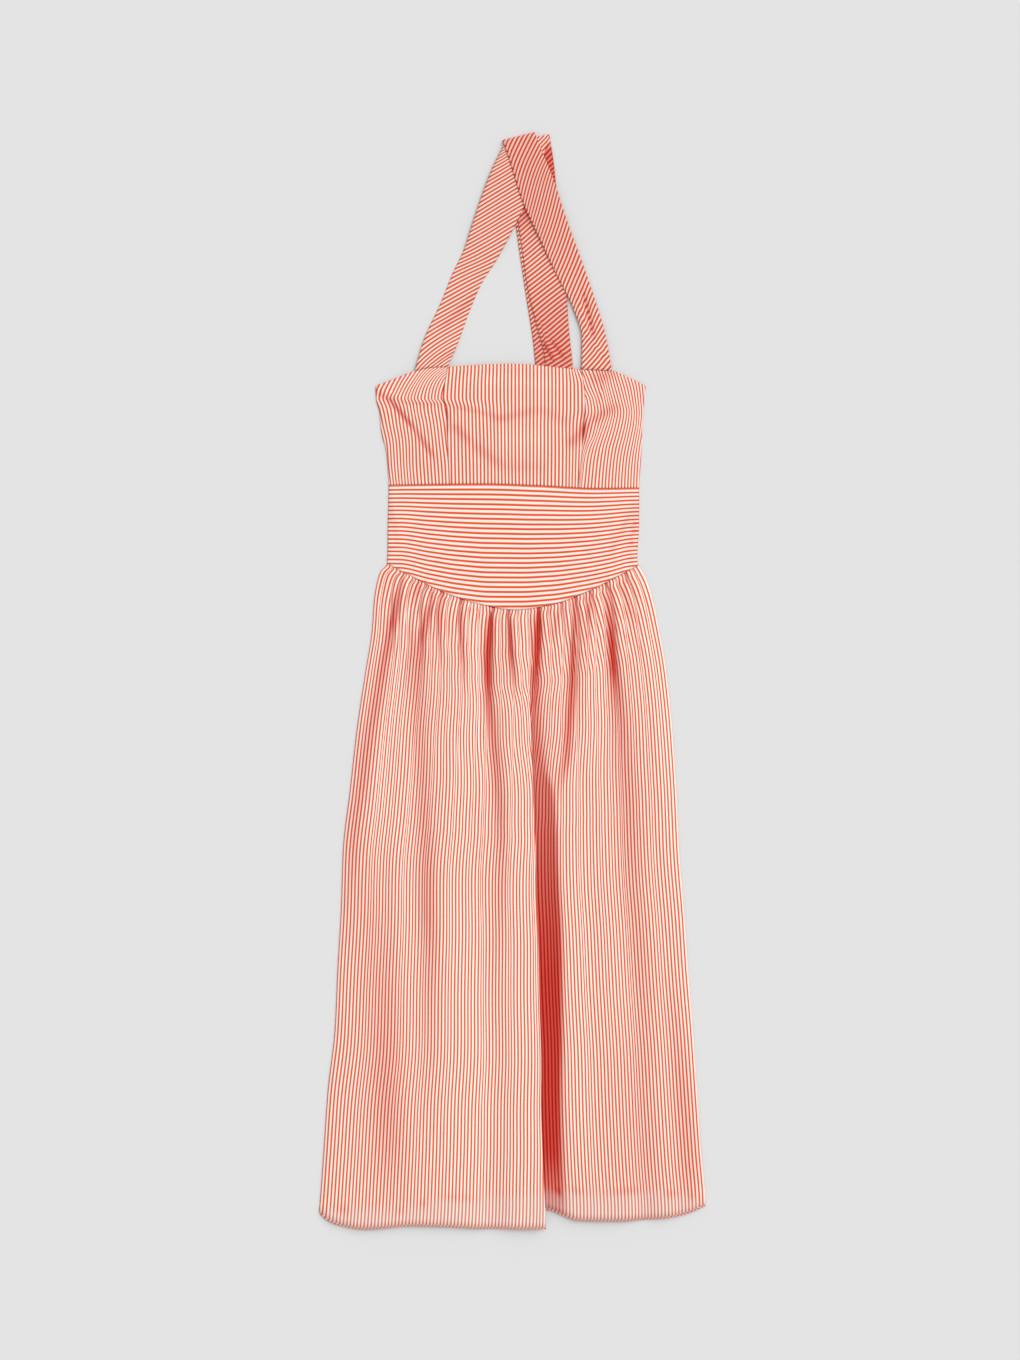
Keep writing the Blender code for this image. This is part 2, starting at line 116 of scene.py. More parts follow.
SIDES = [
    Side(341, -197, 194),
    Side(368, -197, 194),
    Side(389, -196, 192),
    Side(403, -192, 191),
    Side(432, -189, 189),
    Side(468, -181, 188),
    Side(515, -178, 185),
    Side(563, -179, 185),
    Side(621, -180, 182),
    Side(628, -181, 184),
    Side(636, -189, 189),
    Side(650, -194, 196),
    Side(679, -199, 205),
    Side(722, -202, 214),
    Side(780, -211, 224),
    Side(867, -224, 233),
    Side(954, -234, 239),
    Side(1041, -244, 243),
    Side(1128, -247, 250),
    Side(1215, -252, 256),
    Side(1302, -256, 263),
    Side(1389, -266, 269),
    Side(1476, -272, 275),
    Side(1556, -278, 281),
    Side(1566, -279, 280),
]


class Edge(NamedTuple):
    """How far down a cut edge lies at one share of the way across its panel."""

    share: float
    drop: float


LEFT_ARMHOLE = [Edge(0, 368), Edge(0.27, 358), Edge(0.52, 348), Edge(0.77, 342), Edge(1, 341)]
NECKLINE = [Edge(0, 341), Edge(0.45, 336.5), Edge(1, 345)]
RIGHT_ARMHOLE = [Edge(0, 345), Edge(0.476, 347), Edge(0.75, 357), Edge(1, 368)]
UNDERBUST = [Edge(0, 512), Edge(0.38, 510.5), Edge(0.6, 513), Edge(0.83, 517), Edge(1, 516)]
BASQUE = [
    Edge(0, 626),
    Edge(0.128, 650),
    Edge(0.223, 667),
    Edge(0.366, 684.5),
    Edge(0.505, 693),
    Edge(0.648, 686),
    Edge(0.794, 667),
    Edge(0.913, 645),
    Edge(1, 628),
]
HEM = [
    Edge(0, 1566),
    Edge(0.026, 1578),
    Edge(0.067, 1585),
    Edge(0.117, 1589),
    Edge(0.236, 1584),
    Edge(0.332, 1585),
    Edge(0.43, 1588),
    Edge(0.555, 1588),
    Edge(0.58, 1582),
    Edge(0.605, 1560),
    Edge(0.63, 1568),
    Edge(0.673, 1576),
    Edge(0.762, 1577),
    Edge(0.93, 1570),
    Edge(1, 1556),
]
BACK_HEM = [
    Edge(0, 1564),
    Edge(0.2, 1564),
    Edge(0.32, 1547),
    Edge(0.5, 1545),
    Edge(0.7, 1535),
    Edge(0.95, 1543),
    Edge(1, 1552),
]


class SeamPoint(NamedTuple):
    """Where the two seams beside the bodice centre are at one drop."""

    drop: float
    left: float
    right: float


BODICE_SEAMS = [
    SeamPoint(341, -92.4, 100.8),
    SeamPoint(386, -99.5, 106.1),
    SeamPoint(400, -94.5, 106.3),
    SeamPoint(434, -93.5, 103.2),
    SeamPoint(464, -92.0, 101.6),
    SeamPoint(515, -89.5, 96.4),
]
LEFT_PANEL_END = 0.245
RIGHT_PANEL_START = 0.757
LEFT_STRAP_START = 0.549
RIGHT_STRAP_END = 0.476


class Crown(NamedTuple):
    """How far the middle of the front stands off its side seams, and how square its section is."""

    drop: float
    rise: float
    squareness: float


CROWNS = [
    Crown(336, 4.0, 3.0),
    Crown(400, 5.5, 3.0),
    Crown(440, 7.0, 3.0),
    Crown(515, 4.5, 3.2),
    Crown(563, 4.8, 3.4),
    Crown(690, 5.5, 4.0),
    Crown(760, 8.0, 5.0),
    Crown(900, 9.5, 6.0),
    Crown(1450, 9.5, 7.0),
    Crown(1589, 5.5, 7.0),
]


class Crease(NamedTuple):
    """A crease between two gathers: its share across at the seam, where it drifts to, and its size."""

    seam: float
    low: float
    hem: float
    reach: float
    depth: float


CREASES = [
    Crease(0.022, 0.020, 0.020, 40, 1.4),
    Crease(0.053, 0.085, 0.085, 110, 2.8),
    Crease(0.077, 0.104, 0.104, 90, 2.0),
    Crease(0.110, 0.130, 0.130, 60, 2.0),
    Crease(0.159, 0.180, 0.180, 130, 3.2),
    Crease(0.190, 0.210, 0.210, 60, 1.8),
    Crease(0.218, 0.243, 0.245, 120, 3.0),
    Crease(0.255, 0.275, 0.278, 50, 1.6),
    Crease(0.299, 0.316, 0.316, 90, 2.8),
    Crease(0.335, 0.343, 0.343, 45, 1.6),
    Crease(0.372, 0.372, 0.375, 70, 2.2),
    Crease(0.423, 0.406, 0.420, 150, 3.8),
    Crease(0.452, 0.448, 0.455, 50, 1.8),
    Crease(0.484, 0.492, 0.490, 120, 3.2),
    Crease(0.520, 0.520, 0.525, 50, 1.8),
    Crease(0.560, 0.542, 0.554, 60, 2.0),
    Crease(0.604, 0.560, 0.572, 140, 4.0),
    Crease(0.640, 0.615, 0.622, 60, 1.8),
    Crease(0.693, 0.650, 0.655, 70, 2.6),
    Crease(0.722, 0.678, 0.685, 45, 1.4),
    Crease(0.746, 0.700, 0.712, 150, 3.4),
    Crease(0.780, 0.738, 0.745, 50, 1.8),
    Crease(0.806, 0.765, 0.775, 80, 2.6),
    Crease(0.838, 0.800, 0.808, 50, 1.8),
    Crease(0.870, 0.832, 0.840, 170, 3.8),
    Crease(0.905, 0.880, 0.882, 60, 2.0),
    Crease(0.944, 0.922, 0.922, 80, 2.4),
    Crease(0.975, 0.966, 0.966, 40, 1.4),
]


class LongFold(NamedTuple):
    """A soft trough down the skirt: share across, start and end below the seam, depth and half width."""

    high: float
    low: float
    start: float
    end: float
    depth: float
    width: float


LONG_FOLDS = [
    LongFold(0.095, 0.135, 30, 760, 5.5, 17),
    LongFold(0.185, 0.245, 60, 930, 6.5, 19),
    LongFold(0.405, 0.455, 20, 420, 4.5, 12),
    LongFold(0.440, 0.450, 350, 938, 4.0, 20),
    LongFold(0.700, 0.690, 20, 330, 3.5, 12),
    LongFold(0.822, 0.838, 20, 938, 6.8, 17),
    LongFold(0.930, 0.940, 300, 938, 3.5, 13),
]


class ValleyStation(NamedTuple):
    """The deep fold at one distance below the seam.

    It gives its share across, how many half widths the painted shadow on its floor reaches, and how dark
    that is.
    """

    below: float
    share: float
    dark_to: float
    dark: float


DEEP_FOLD = [
    ValleyStation(0, 0.560, 1.3, 0.0),
    ValleyStation(71, 0.557, 1.3, 0.30),
    ValleyStation(108, 0.548, 1.5, 0.50),
    ValleyStation(180, 0.542, 1.8, 0.64),
    ValleyStation(253, 0.544, 2.4, 0.66),
    ValleyStation(289, 0.546, 3.3, 0.68),
    ValleyStation(325, 0.550, 3.5, 0.72),
    ValleyStation(361, 0.556, 3.5, 0.77),
    ValleyStation(434, 0.560, 3.6, 0.84),
    ValleyStation(543, 0.562, 3.5, 0.92),
    ValleyStation(724, 0.564, 2.9, 1.0),
    ValleyStation(833, 0.568, 2.7, 0.96),
    ValleyStation(938, 0.574, 2.6, 0.60),
]


class FoldStation(NamedTuple):
    """One place along a soft fold: where it is, how far it spreads and how much painted shade it has.

    A shade below 0 takes painted shade away, to paint light on a ridge.
    """

    drop: float
    across: float
    half_width: float
    shade: float


# Painted shade down each soft fold of the skirt, and less of it on pale ridges
SKIRT_FOLDS = [
    [FoldStation(*row) for row in fold]
    for fold in (
        (
            (690, 39, 3, 0.50), (715, 38.5, 5, 0.90), (766, 38.5, 6.5, 0.45), (802, 38, 7, 0.15),
            (838, 36, 7, 0.00),
        ),
        (
            (674, 92, 3, 0.30), (708, 91, 4, 0.60), (742, 89, 5, 0.75), (780, 88, 6, 0.80),
            (824, 86, 7, 0.75), (867, 83, 7, 0.70), (911, 79, 7.5, 0.55), (932, 74, 8, 0.35),
            (954, 68, 8, 0.15), (983, 64, 8, 0.00),
        ),
        (
            (692, -30, 3, 0.30), (715, -32, 5, 0.80), (766, -35, 6.5, 0.95), (816, -33, 7, 0.75),
            (866, -28, 8, 0.55), (925, -22, 8.5, 0.45), (998, -17, 9, 0.35), (1061, -15, 10, 0.22),
            (1157, -21, 10, 0.12), (1259, -30, 12, 0.00),
        ),
        (
            (695, -4, 3, 0.30), (715, -2, 4, 0.60), (751, -1, 5, 0.65), (787, 2, 6, 0.40),
            (824, 5, 6, 0.00),
        ),
        (
            (667, 137, 3, 0.30), (693, 141, 4.5, 0.60), (737, 144, 6.5, 0.85), (773, 147, 8, 0.85),
            (809, 151, 9.5, 0.60), (853, 156, 13, 0.38), (911, 163, 17, 0.28), (1012, 173, 20, 0.24),
            (1114, 178, 20, 0.17), (1208, 188, 19, 0.17), (1305, 195, 18, 0.09), (1404, 192, 18, 0.03),
            (1549, 192, 14, 0.00),
        ),
        (
            (647, -157, 3, 0.20), (679, -165, 6, 0.55), (706, -172, 6.5, 0.70), (744, -179, 7, 0.60),
            (777, -186, 8.5, 0.50), (824, -195, 9.5, 0.42), (882, -207, 10, 0.38),
            (934, -215, 10, 0.34), (1012, -227, 9, 0.28), (1114, -234, 9, 0.10), (1201, -238, 9, 0.00),
        ),
        (
            (677, -115, 3, 0.30), (696, -120, 6, 0.60), (722, -127, 7, 0.60), (751, -133, 8.5, 0.50),
            (809, -136, 10, 0.35), (867, -134, 11, 0.27), (954, -128, 12, 0.25), (1061, -122, 12, 0.33),
            (1130, -121, 12, 0.36), (1208, -117, 12, 0.20), (1302, -118, 12, 0.08),
            (1375, -121, 12, 0.00),
        ),
        (
            (650, -133, 4, 0.40), (667, -137, 5, 0.40), (700, -143, 4.5, 0.10), (737, -146, 4.5, 0.30),
            (766, -149, 6, 0.22), (824, -153, 6, 0.00),
        ),
        (
            (679, -73, 3, 0.30), (708, -73, 4.5, 0.50), (751, -71, 5, 0.45), (795, -69, 6, 0.15),
            (824, -67, 6, 0.00),
        ),
        (
            (670, -99, 3, 0.35), (700, -102, 3.5, 0.40), (740, -104, 4.5, 0.20), (773, -104, 4.5, 0.00),
        ),
        (
            (668, 114, 3, 0.35), (696, 112, 4.5, 0.45), (718, 110, 5, 0.30), (758, 108, 6, 0.10),
            (809, 107, 6, 0.00),
        ),
        (
            (683, 73, 3, 0.25), (705, 66, 4.5, 0.35), (737, 62, 4.5, 0.15), (766, 60, 4.5, 0.00),
        ),
        (
            (667, 165, 3, 0.30), (687, 170, 4.5, 0.35), (716, 178, 4.5, 0.20), (751, 186, 6, 0.12),
            (853, 201, 9, 0.08), (998, 215, 10, 0.00),
        ),
        (
            (992, -218, 16, 0.00), (1109, -204, 20, 0.13), (1208, -193, 24, 0.20),
            (1305, -184, 26, 0.26), (1404, -181, 26, 0.30), (1453, -178, 26, 0.27),
            (1520, -175, 26, 0.12), (1570, -173, 26, 0.00),
        ),
        (
            (1201, 227, 12, 0.00), (1305, 238, 13, 0.15), (1404, 249, 16, 0.25), (1491, 256, 17, 0.25),
            (1549, 259, 17, 0.10),
        ),
        (
            (1259, 165, 29, 0.00), (1375, 172, 35, 0.10), (1491, 186, 40, 0.12), (1549, 186, 40, 0.05),
        ),
        (
            (824, -60, 14, -0.03), (969, -75, 14, -0.10), (1085, -75, 17, -0.15),
            (1230, -69, 19, -0.18), (1404, -66, 23, -0.20), (1534, -66, 26, -0.12),
        ),
        (
            (737, 17, 7, -0.12), (853, 10, 9, -0.12), (969, 7, 12, -0.14), (1114, 9, 13, -0.16),
            (1259, 11, 14, -0.18), (1404, 12, 14, -0.16), (1534, 9, 17, -0.08),
        ),
        (
            (824, 98, 10, 0.00), (969, 96, 12, -0.12), (1114, 99, 14, -0.14), (1259, 99, 14, -0.12),
            (1433, 102, 14, -0.06), (1540, 104, 14, 0.00),
        ),
        (
            (737, -53, 9, -0.12), (824, -54, 10, -0.12), (911, -51, 10, -0.10), (998, -49, 10, 0.00),
        ),
        (
            (679, -147, 6, -0.10), (824, -167, 9, -0.10), (969, -176, 13, -0.12),
            (1056, -173, 13, 0.00),
        ),
        (
            (708, 125, 6, -0.10), (766, 122, 9, -0.12), (882, 120, 12, -0.08), (969, 122, 12, 0.00),
        ),
        (
            (708, 194, 7, -0.10), (795, 208, 9, -0.12), (911, 220, 9, -0.10), (1056, 227, 9, -0.05),
            (1172, 230, 9, 0.00),
        ),
    )
]


class Crumple(NamedTuple):
    """A soft ridge or trough between two points of the cloth.

    Its rise is its height, its jog how far it pushes the stripes aside, and its shade the painted shade it
    gets; below 0 that is painted light.
    """

    across_from: float
    drop_from: float
    across_to: float
    drop_to: float
    half_width: float
    rise: float
    jog: float
    shade: float


BODICE_CRUMPLES = [
    Crumple(-177, 388, -140, 433, 4.0, -1.8, 0.5, 0.60),
    Crumple(-140, 433, -112, 474, 5.0, -1.4, 0.5, 0.42),
    Crumple(-198, 377, -172, 392, 4.0, -0.8, 0.0, 0.30),
    Crumple(-165, 392, -96, 398, 4.0, -0.9, 0.0, 0.15),
    Crumple(-169, 468, -104, 497, 12.0, -0.4, 0.0, 0.04),
    Crumple(-94, 396, -12, 416, 4.5, -0.8, 0.0, 0.20),
    Crumple(-86, 424, -60, 451, 7.0, -0.7, 0.0, 0.32),
    Crumple(-60, 451, -12, 487, 8.0, -0.6, 0.0, 0.24),
    Crumple(-12, 487, 49, 487, 9.0, -0.4, 0.0, 0.12),
    Crumple(-31, 420, 41, 403, 6.0, -0.5, 0.0, 0.22),
    Crumple(41, 403, 88, 425, 8.0, -0.5, 0.0, 0.14),
    Crumple(-92, 403, -93, 440, 2.5, -0.6, 0.0, 0.40),
    Crumple(82, 457, 111, 423, 8.0, -0.8, 0.0, 0.36),
    Crumple(111, 423, 154, 396, 8.0, -0.8, 0.5, 0.30),
    Crumple(111, 360, 154, 348, 10.0, -0.5, 0.0, 0.25),
    Crumple(104, 400, 105, 456, 3.5, -1.2, 0.0, 0.40),
    Crumple(118, 418, 101, 452, 3.0, 0.8, 0.6, 0.00),
    Crumple(128, 392, 134, 352, 4.0, 0.8, 1.0, 0.10),
    Crumple(-188, 372, -150, 392, 4.0, 0.8, 0.0, 0.0),
    Crumple(-70, 360, 80, 366, 10.0, 0.5, 0.0, -0.08),
    Crumple(-20, 448, 50, 448, 14.0, 0.8, 0.0, -0.10),
]
BAND_CRUMPLES = [
    Crumple(170, 572, 188, 564, 2.4, 0.7, 0.5, 0.12),
    Crumple(166, 584, 188, 575, 2.4, 0.8, 0.6, 0.12),
    Crumple(172, 596, 188, 588, 2.2, 0.7, 0.5, 0.14),
    Crumple(162, 607, 188, 600, 2.6, 0.8, 0.6, 0.12),
    Crumple(168, 618, 188, 613, 2.2, 0.6, 0.4, 0.12),
    Crumple(178, 541, 137, 621, 5.0, -0.5, 0.0, 0.12),
    Crumple(188, 530, 168, 610, 5.0, -0.5, 0.0, 0.14),
    Crumple(-178, 534, -167, 599, 4.0, -0.5, 0.0, 0.12),
    Crumple(-181, 560, -160, 566, 3.0, 0.5, 0.3, 0.05),
    Crumple(-181, 600, -150, 607, 3.0, 0.5, 0.3, 0.05),
    Crumple(-60, 560, 90, 566, 18.0, 0.7, 0.0, 0.0),
    Crumple(-120, 636, -30, 652, 16.0, -0.7, 0.0, 0.0),
    Crumple(40, 610, 150, 598, 16.0, -0.6, 0.0, 0.0),
]
LEFT_STRAP_CRUMPLES = [
    Crumple(-102, 277, -46, 219, 4.0, 1.4, 0.8, 0.0),
    Crumple(-104, 288, -44, 230, 4.0, -1.0, 0.0, 0.22),
    Crumple(-122, 330, -84, 300, 3.0, 1.2, 0.9, 0.0),
    Crumple(-112, 338, -80, 316, 3.0, -0.8, 0.6, 0.20),
    Crumple(-70, 150, -20, 175, 14.0, 0.8, 0.0, 0.0),
]
RIGHT_STRAP_CRUMPLES = [
    Crumple(104, 232, 120, 302, 3.6, -1.5, 2.4, 0.38),
    Crumple(96, 240, 112, 306, 5.0, 0.9, 1.2, 0.0),
    Crumple(112, 300, 140, 330, 4.0, 0.8, 1.2, 0.0),
    Crumple(-12, 14, -2, 42, 2.2, 0.5, 2.2, 0.06),
    Crumple(-2, 42, 15, 99, 2.2, 0.5, 2.0, 0.06),
    Crumple(15, 99, 40, 154, 2.4, 0.6, 2.4, 0.08),
    Crumple(40, 154, 63, 207, 2.4, 0.6, 2.6, 0.08),
    Crumple(63, 207, 89, 255, 2.4, 0.6, 2.4, 0.08),
    Crumple(89, 255, 102, 300, 2.4, 0.6, 2.0, 0.06),
]
RETURN_CRUMPLES = [
    Crumple(46, 304, 62, 334, 3.0, -0.4, 2.0, 0.36),
    Crumple(56, 300, 78, 330, 3.0, -0.4, 1.4, 0.24),
    Crumple(40, 268, 52, 318, 2.4, 0.3, 1.6, 0.08),
]


class GuideStripe(NamedTuple):
    """One stripe followed down a panel: its count from the panel's first, and its place at each drop."""

    count: float
    across: tuple[float, ...]


class Section(NamedTuple):
    """One section of a strap: its left and right edge points and the height of its mid surface."""

    left_across: float
    left_drop: float
    right_across: float
    right_drop: float
    height: float


ON_TABLE = WALL / 2
SECOND = ON_TABLE + LAYER
THIRD = SECOND + LAYER
FOURTH = THIRD + LAYER


def smooth(xs: Sequence[float], ys: Sequence[float]) -> Curve:
    """Makes a smooth curve through points that never swings past them.

    Args:
        xs: The points' places, rising.
        ys: The points' values.

    Returns:
        A function of places that gives the curve's values.
    """
    xs, ys = np.asarray(xs, float), np.asarray(ys, float)
    steps = np.diff(xs)
    slopes = np.diff(ys) / steps
    tangents = np.zeros_like(ys)
    product = slopes[:-1] * slopes[1:]
    weight_a, weight_b = 2 * steps[1:] + steps[:-1], steps[1:] + 2 * steps[:-1]
    safe = np.where(product > 0, product, 1.0)
    lean = weight_a * slopes[1:] + weight_b * slopes[:-1] + TINY * TINY
    mean = (weight_a + weight_b) * safe / lean
    tangents[1:-1] = np.where(product > 0, mean, 0.0)
    tangents[0], tangents[-1] = slopes[0], slopes[-1]

    def value(x: np.ndarray) -> np.ndarray:
        """The curve's value at each place."""
        x = np.clip(x, xs[0], xs[-1])
        i = np.clip(np.searchsorted(xs, x) - 1, 0, len(steps) - 1)
        t = (x - xs[i]) / steps[i]
        return (
            ys[i] * (1 + 2 * t) * (1 - t) ** 2
            + ys[i + 1] * t * t * (3 - 2 * t)
            + steps[i] * tangents[i] * t * (1 - t) ** 2
            - steps[i] * tangents[i + 1] * t * t * (1 - t)
        )

    return value


def ease(t: np.ndarray) -> np.ndarray:
    """Goes from 0 to 1 without a jolt at either end."""
    t = np.clip(t, 0.0, 1.0)
    return t * t * (3 - 2 * t)


def bell(x: np.ndarray) -> np.ndarray:
    """A bell of height 1 at 0, nearly gone at 2."""
    return np.exp(-np.square(x))


# Painted shade on the straps' return runs, at each drop
RETURN_SHADE = smooth(
    (0, 16, 26, 85, 112, 150, 190, 250, 285, 335),
    (0.25, 0.35, 0.80, 0.80, 0.70, 0.30, 0.24, 0.38, 0.46, 0.54),
)


def edge_curve(rows: Sequence[Edge]) -> Curve:
    """The drop of a cut edge as a function of the share across."""
    return smooth([r.share for r in rows], [r.drop for r in rows])


def ripple(across: np.ndarray, drop: np.ndarray, size: float) -> np.ndarray:
    """The slow unevenness of cloth that lies loose.

    Args:
        across: Places across, in millimetres.
        drop: Places down the dress, in millimetres.
        size: The most that the cloth rises or falls, in millimetres.

    Returns:
        The heights that the unevenness adds.
    """
    broad, fine, wide = RIPPLE_ACROSS
    bend, slant, slow = RIPPLE_DOWN
    second, third = RIPPLE_PHASES
    waves = (
        np.sin(across / broad + RIPPLE_BEND * np.sin(drop / bend))
        + np.sin(across / fine - drop / slant + second)
        + RIPPLE_THIRD * np.sin(drop / slow + across / wide + third)
    )
    return size * waves / (2 + RIPPLE_THIRD)


def fold_shade(
    folds: Sequence[Sequence[FoldStation]], across: np.ndarray, drop: np.ndarray
) -> np.ndarray:
    """Adds up the painted shade that a piece's soft folds put on each point.

    Args:
        folds: The folds, each followed down.
        across: Places across, in millimetres.
        drop: Places down the dress, in millimetres.

    Returns:
        The painted shade at each point, below 0 where a ridge is painted lighter.
    """
    shade = np.zeros_like(across)
    for fold in folds:
        drops = [s.drop for s in fold]
        centre, width, depth = (smooth(drops, [s[k] for s in fold]) for k in (1, 2, 3))
        shade += depth(drop) * bell((across - centre(drop)) / width(drop))
    return shade


def crumple_field(
    crumples: Sequence[Crumple], across: np.ndarray, drop: np.ndarray
) -> tuple[np.ndarray, np.ndarray, np.ndarray]:
    """Adds up what a piece's crumples do at each point.

    Args:
        crumples: The ridges and troughs, as listed.
        across: Places across, in millimetres.
        drop: Places down the dress, in millimetres.

    Returns:
        The rise, the push on the stripes and the painted shade at each point.
    """
    rise, jog, shade = np.zeros_like(across), np.zeros_like(across), np.zeros_like(across)
    for c in crumples:
        run, fall = c.across_to - c.across_from, c.drop_to - c.drop_from
        length = math.hypot(run, fall)
        along = ((across - c.across_from) * run + (drop - c.drop_from) * fall) / length**2
        side = ((across - c.across_from) * fall - (drop - c.drop_from) * run) / (length * c.half_width)
        strength = bell(side) * ease((along + CRUMPLE_OVERRUN) / CRUMPLE_FADE)
        strength *= ease((1 + CRUMPLE_OVERRUN - along) / CRUMPLE_FADE)
        rise += c.rise * strength
        jog += c.jog * side * strength
        shade += c.shade * strength
    return rise, jog, shade


@dataclass
class StripeGuides:
    """The way that the stripes of one panel run, from a few of them followed one by one."""

    drops: tuple[float, ...]
    stripes: list[GuideStripe]

    def over(self, across: np.ndarray, drop: np.ndarray) -> np.ndarray:
        """Counts the cloth across the stripes at each point.

        Args:
            across: Places across, in millimetres.
            drop: Places down the dress, in millimetres.

        Returns:
            Millimetres of cloth from the panel's first stripe.
        """
        places = [smooth(self.drops, s.across)(drop) for s in self.stripes]
        counts = [s.count for s in self.stripes]
        out = np.zeros_like(across)
        last = len(counts) - 2
        for k in range(last + 1):
            low, high = places[k], places[k + 1]
            here = (across >= low) if k > 0 else np.ones_like(across, bool)
            value = counts[k] + (counts[k + 1] - counts[k]) * (across - low) / (high - low)
            out = np.where(here, value, out)
        return out * STRIPE


@dataclass
class Silhouette:
    """The outline of the dress and the curve of its front, which every piece is cut from."""

    left: Curve = field(init=False)
    right: Curve = field(init=False)
    seam_left: Curve = field(init=False)
    seam_right: Curve = field(init=False)
    rise: Curve = field(init=False)
    squareness: Curve = field(init=False)

    def __post_init__(self) -> None:
        """Makes the curves from the tables."""
        drops = [s.drop for s in SIDES]
        self.left = smooth(drops, [s.left for s in SIDES])
        self.right = smooth(drops, [s.right for s in SIDES])
        seams = [s.drop for s in BODICE_SEAMS]
        self.seam_left = smooth(seams, [s.left for s in BODICE_SEAMS])
        self.seam_right = smooth(seams, [s.right for s in BODICE_SEAMS])
        crowns = [c.drop for c in CROWNS]
        self.rise = smooth(crowns, [c.rise for c in CROWNS])
        self.squareness = smooth(crowns, [c.squareness for c in CROWNS])

    def band_left(self, drop: np.ndarray) -> np.ndarray:
        """The band's left side, which ends where the skirt's begins."""
        return self.left(np.minimum(drop, BASQUE[0].drop))

    def band_right(self, drop: np.ndarray) -> np.ndarray:
        """The band's right side, which ends where the skirt's begins."""
        return self.right(np.minimum(drop, BASQUE[-1].drop))

    def front_height(self, across: np.ndarray, drop: np.ndarray) -> np.ndarray:
        """Height of the front's mid surface over the table on the bodice and band.

        Args:
            across: Places across, in millimetres.
            drop: Places down the dress, in millimetres.

        Returns:
            Heights in millimetres.
        """
        left, right = self.band_left(drop), self.band_right(drop)
        off_centre = np.clip(np.abs(2 * (across - left) / (right - left) - 1), 0, 1)
        return FRONT_BASE + WALL / 2 + self.rise(drop) * (1 - off_centre ** self.squareness(drop))


class ShaderTree:
    """Adds nodes to a shader or group tree and joins them, with little writing."""

    def __init__(self, tree: bpy.types.NodeTree) -> None:
        """Keeps the tree that the nodes go into."""
        self.tree = tree

    def add(self, kind: str, **settings: object) -> bpy.types.Node:
        """Adds a node.

        Args:
            kind: The node's type name.
            **settings: The node's own properties.

        Returns:
            The new node.
        """
        node = self.tree.nodes.new(kind)
        for name, value in settings.items():
            setattr(node, name, value)
        return node

    def join(self, source: object, target: bpy.types.NodeSocket) -> None:
        """Feeds a socket from another socket, or gives it a constant.

        Args:
            source: The socket to read, or the constant.
            target: The socket to feed.
        """
        if isinstance(source, bpy.types.NodeSocket):
            self.tree.links.new(source, target)
        else:
            target.default_value = source

    def math(self, operation: str, *inputs: object) -> bpy.types.NodeSocket:
        """Works out a number from one to three others.

        Args:
            operation: The sum to do, by its name in Blender.
            *inputs: Sockets or constants.

        Returns:
            The result's socket.
        """
        node = self.add("ShaderNodeMath", operation=operation)
        for value, socket in zip(inputs, node.inputs):
            self.join(value, socket)
        return node.outputs[0]

    def mix(self, share: object, first: object, second: object) -> bpy.types.NodeSocket:
        """Mixes two colours.

        Args:
            share: How much of the second colour there is.
            first: The first colour.
            second: The second colour.

        Returns:
            The result's socket.
        """
        node = self.add("ShaderNodeMix", data_type="RGBA")
        colours = [s for s in node.inputs if s.type == "RGBA"]
        self.join(share, node.inputs[0])
        self.join(first, colours[0])
        self.join(second, colours[1])
        return next(s for s in node.outputs if s.type == "RGBA")

    def band(self, value: object, low: object, high: object) -> bpy.types.NodeSocket:
        """Goes smoothly from 0 to 1.

        Args:
            value: The number that decides.
            low: Where the result is still 0.
            high: Where the result reaches 1.

        Returns:
            The result's socket.
        """
        node = self.add("ShaderNodeMapRange", interpolation_type="SMOOTHSTEP")
        self.join(value, node.inputs["Value"])
        self.join(low, node.inputs["From Min"])
        self.join(high, node.inputs["From Max"])
        return node.outputs["Result"]

    def noise(self, place: object, scale: float, detail: float) -> bpy.types.NodeSocket:
        """Makes a cloudy mask round one half.

        Args:
            place: The place to read, in metres.
            scale: Features a metre.
            detail: How many finer layers there are.

        Returns:
            The mask's socket.
        """
        node = self.add("ShaderNodeTexNoise", noise_dimensions="3D")
        self.join(place, node.inputs["Vector"])
        self.join(scale, node.inputs["Scale"])
        self.join(detail, node.inputs["Detail"])
        return node.outputs["Fac"]


def new_group(
    name: str, inputs: Sequence[tuple[str, str]], outputs: Sequence[tuple[str, str]]
) -> ShaderTree:
    """Makes an empty shader node group with named sockets.

    Args:
        name: The group's name.
        inputs: Name and socket type of each input.
        outputs: Name and socket type of each output.

    Returns:
        The group's tree, ready for its nodes.
    """
    tree = bpy.data.node_groups.new(name, "ShaderNodeTree")
    for label, kind in inputs:
        tree.interface.new_socket(label, in_out="INPUT", socket_type=kind)
    for label, kind in outputs:
        tree.interface.new_socket(label, in_out="OUTPUT", socket_type=kind)
    return ShaderTree(tree)


FLOAT = "NodeSocketFloat"
COLOUR = "NodeSocketColor"


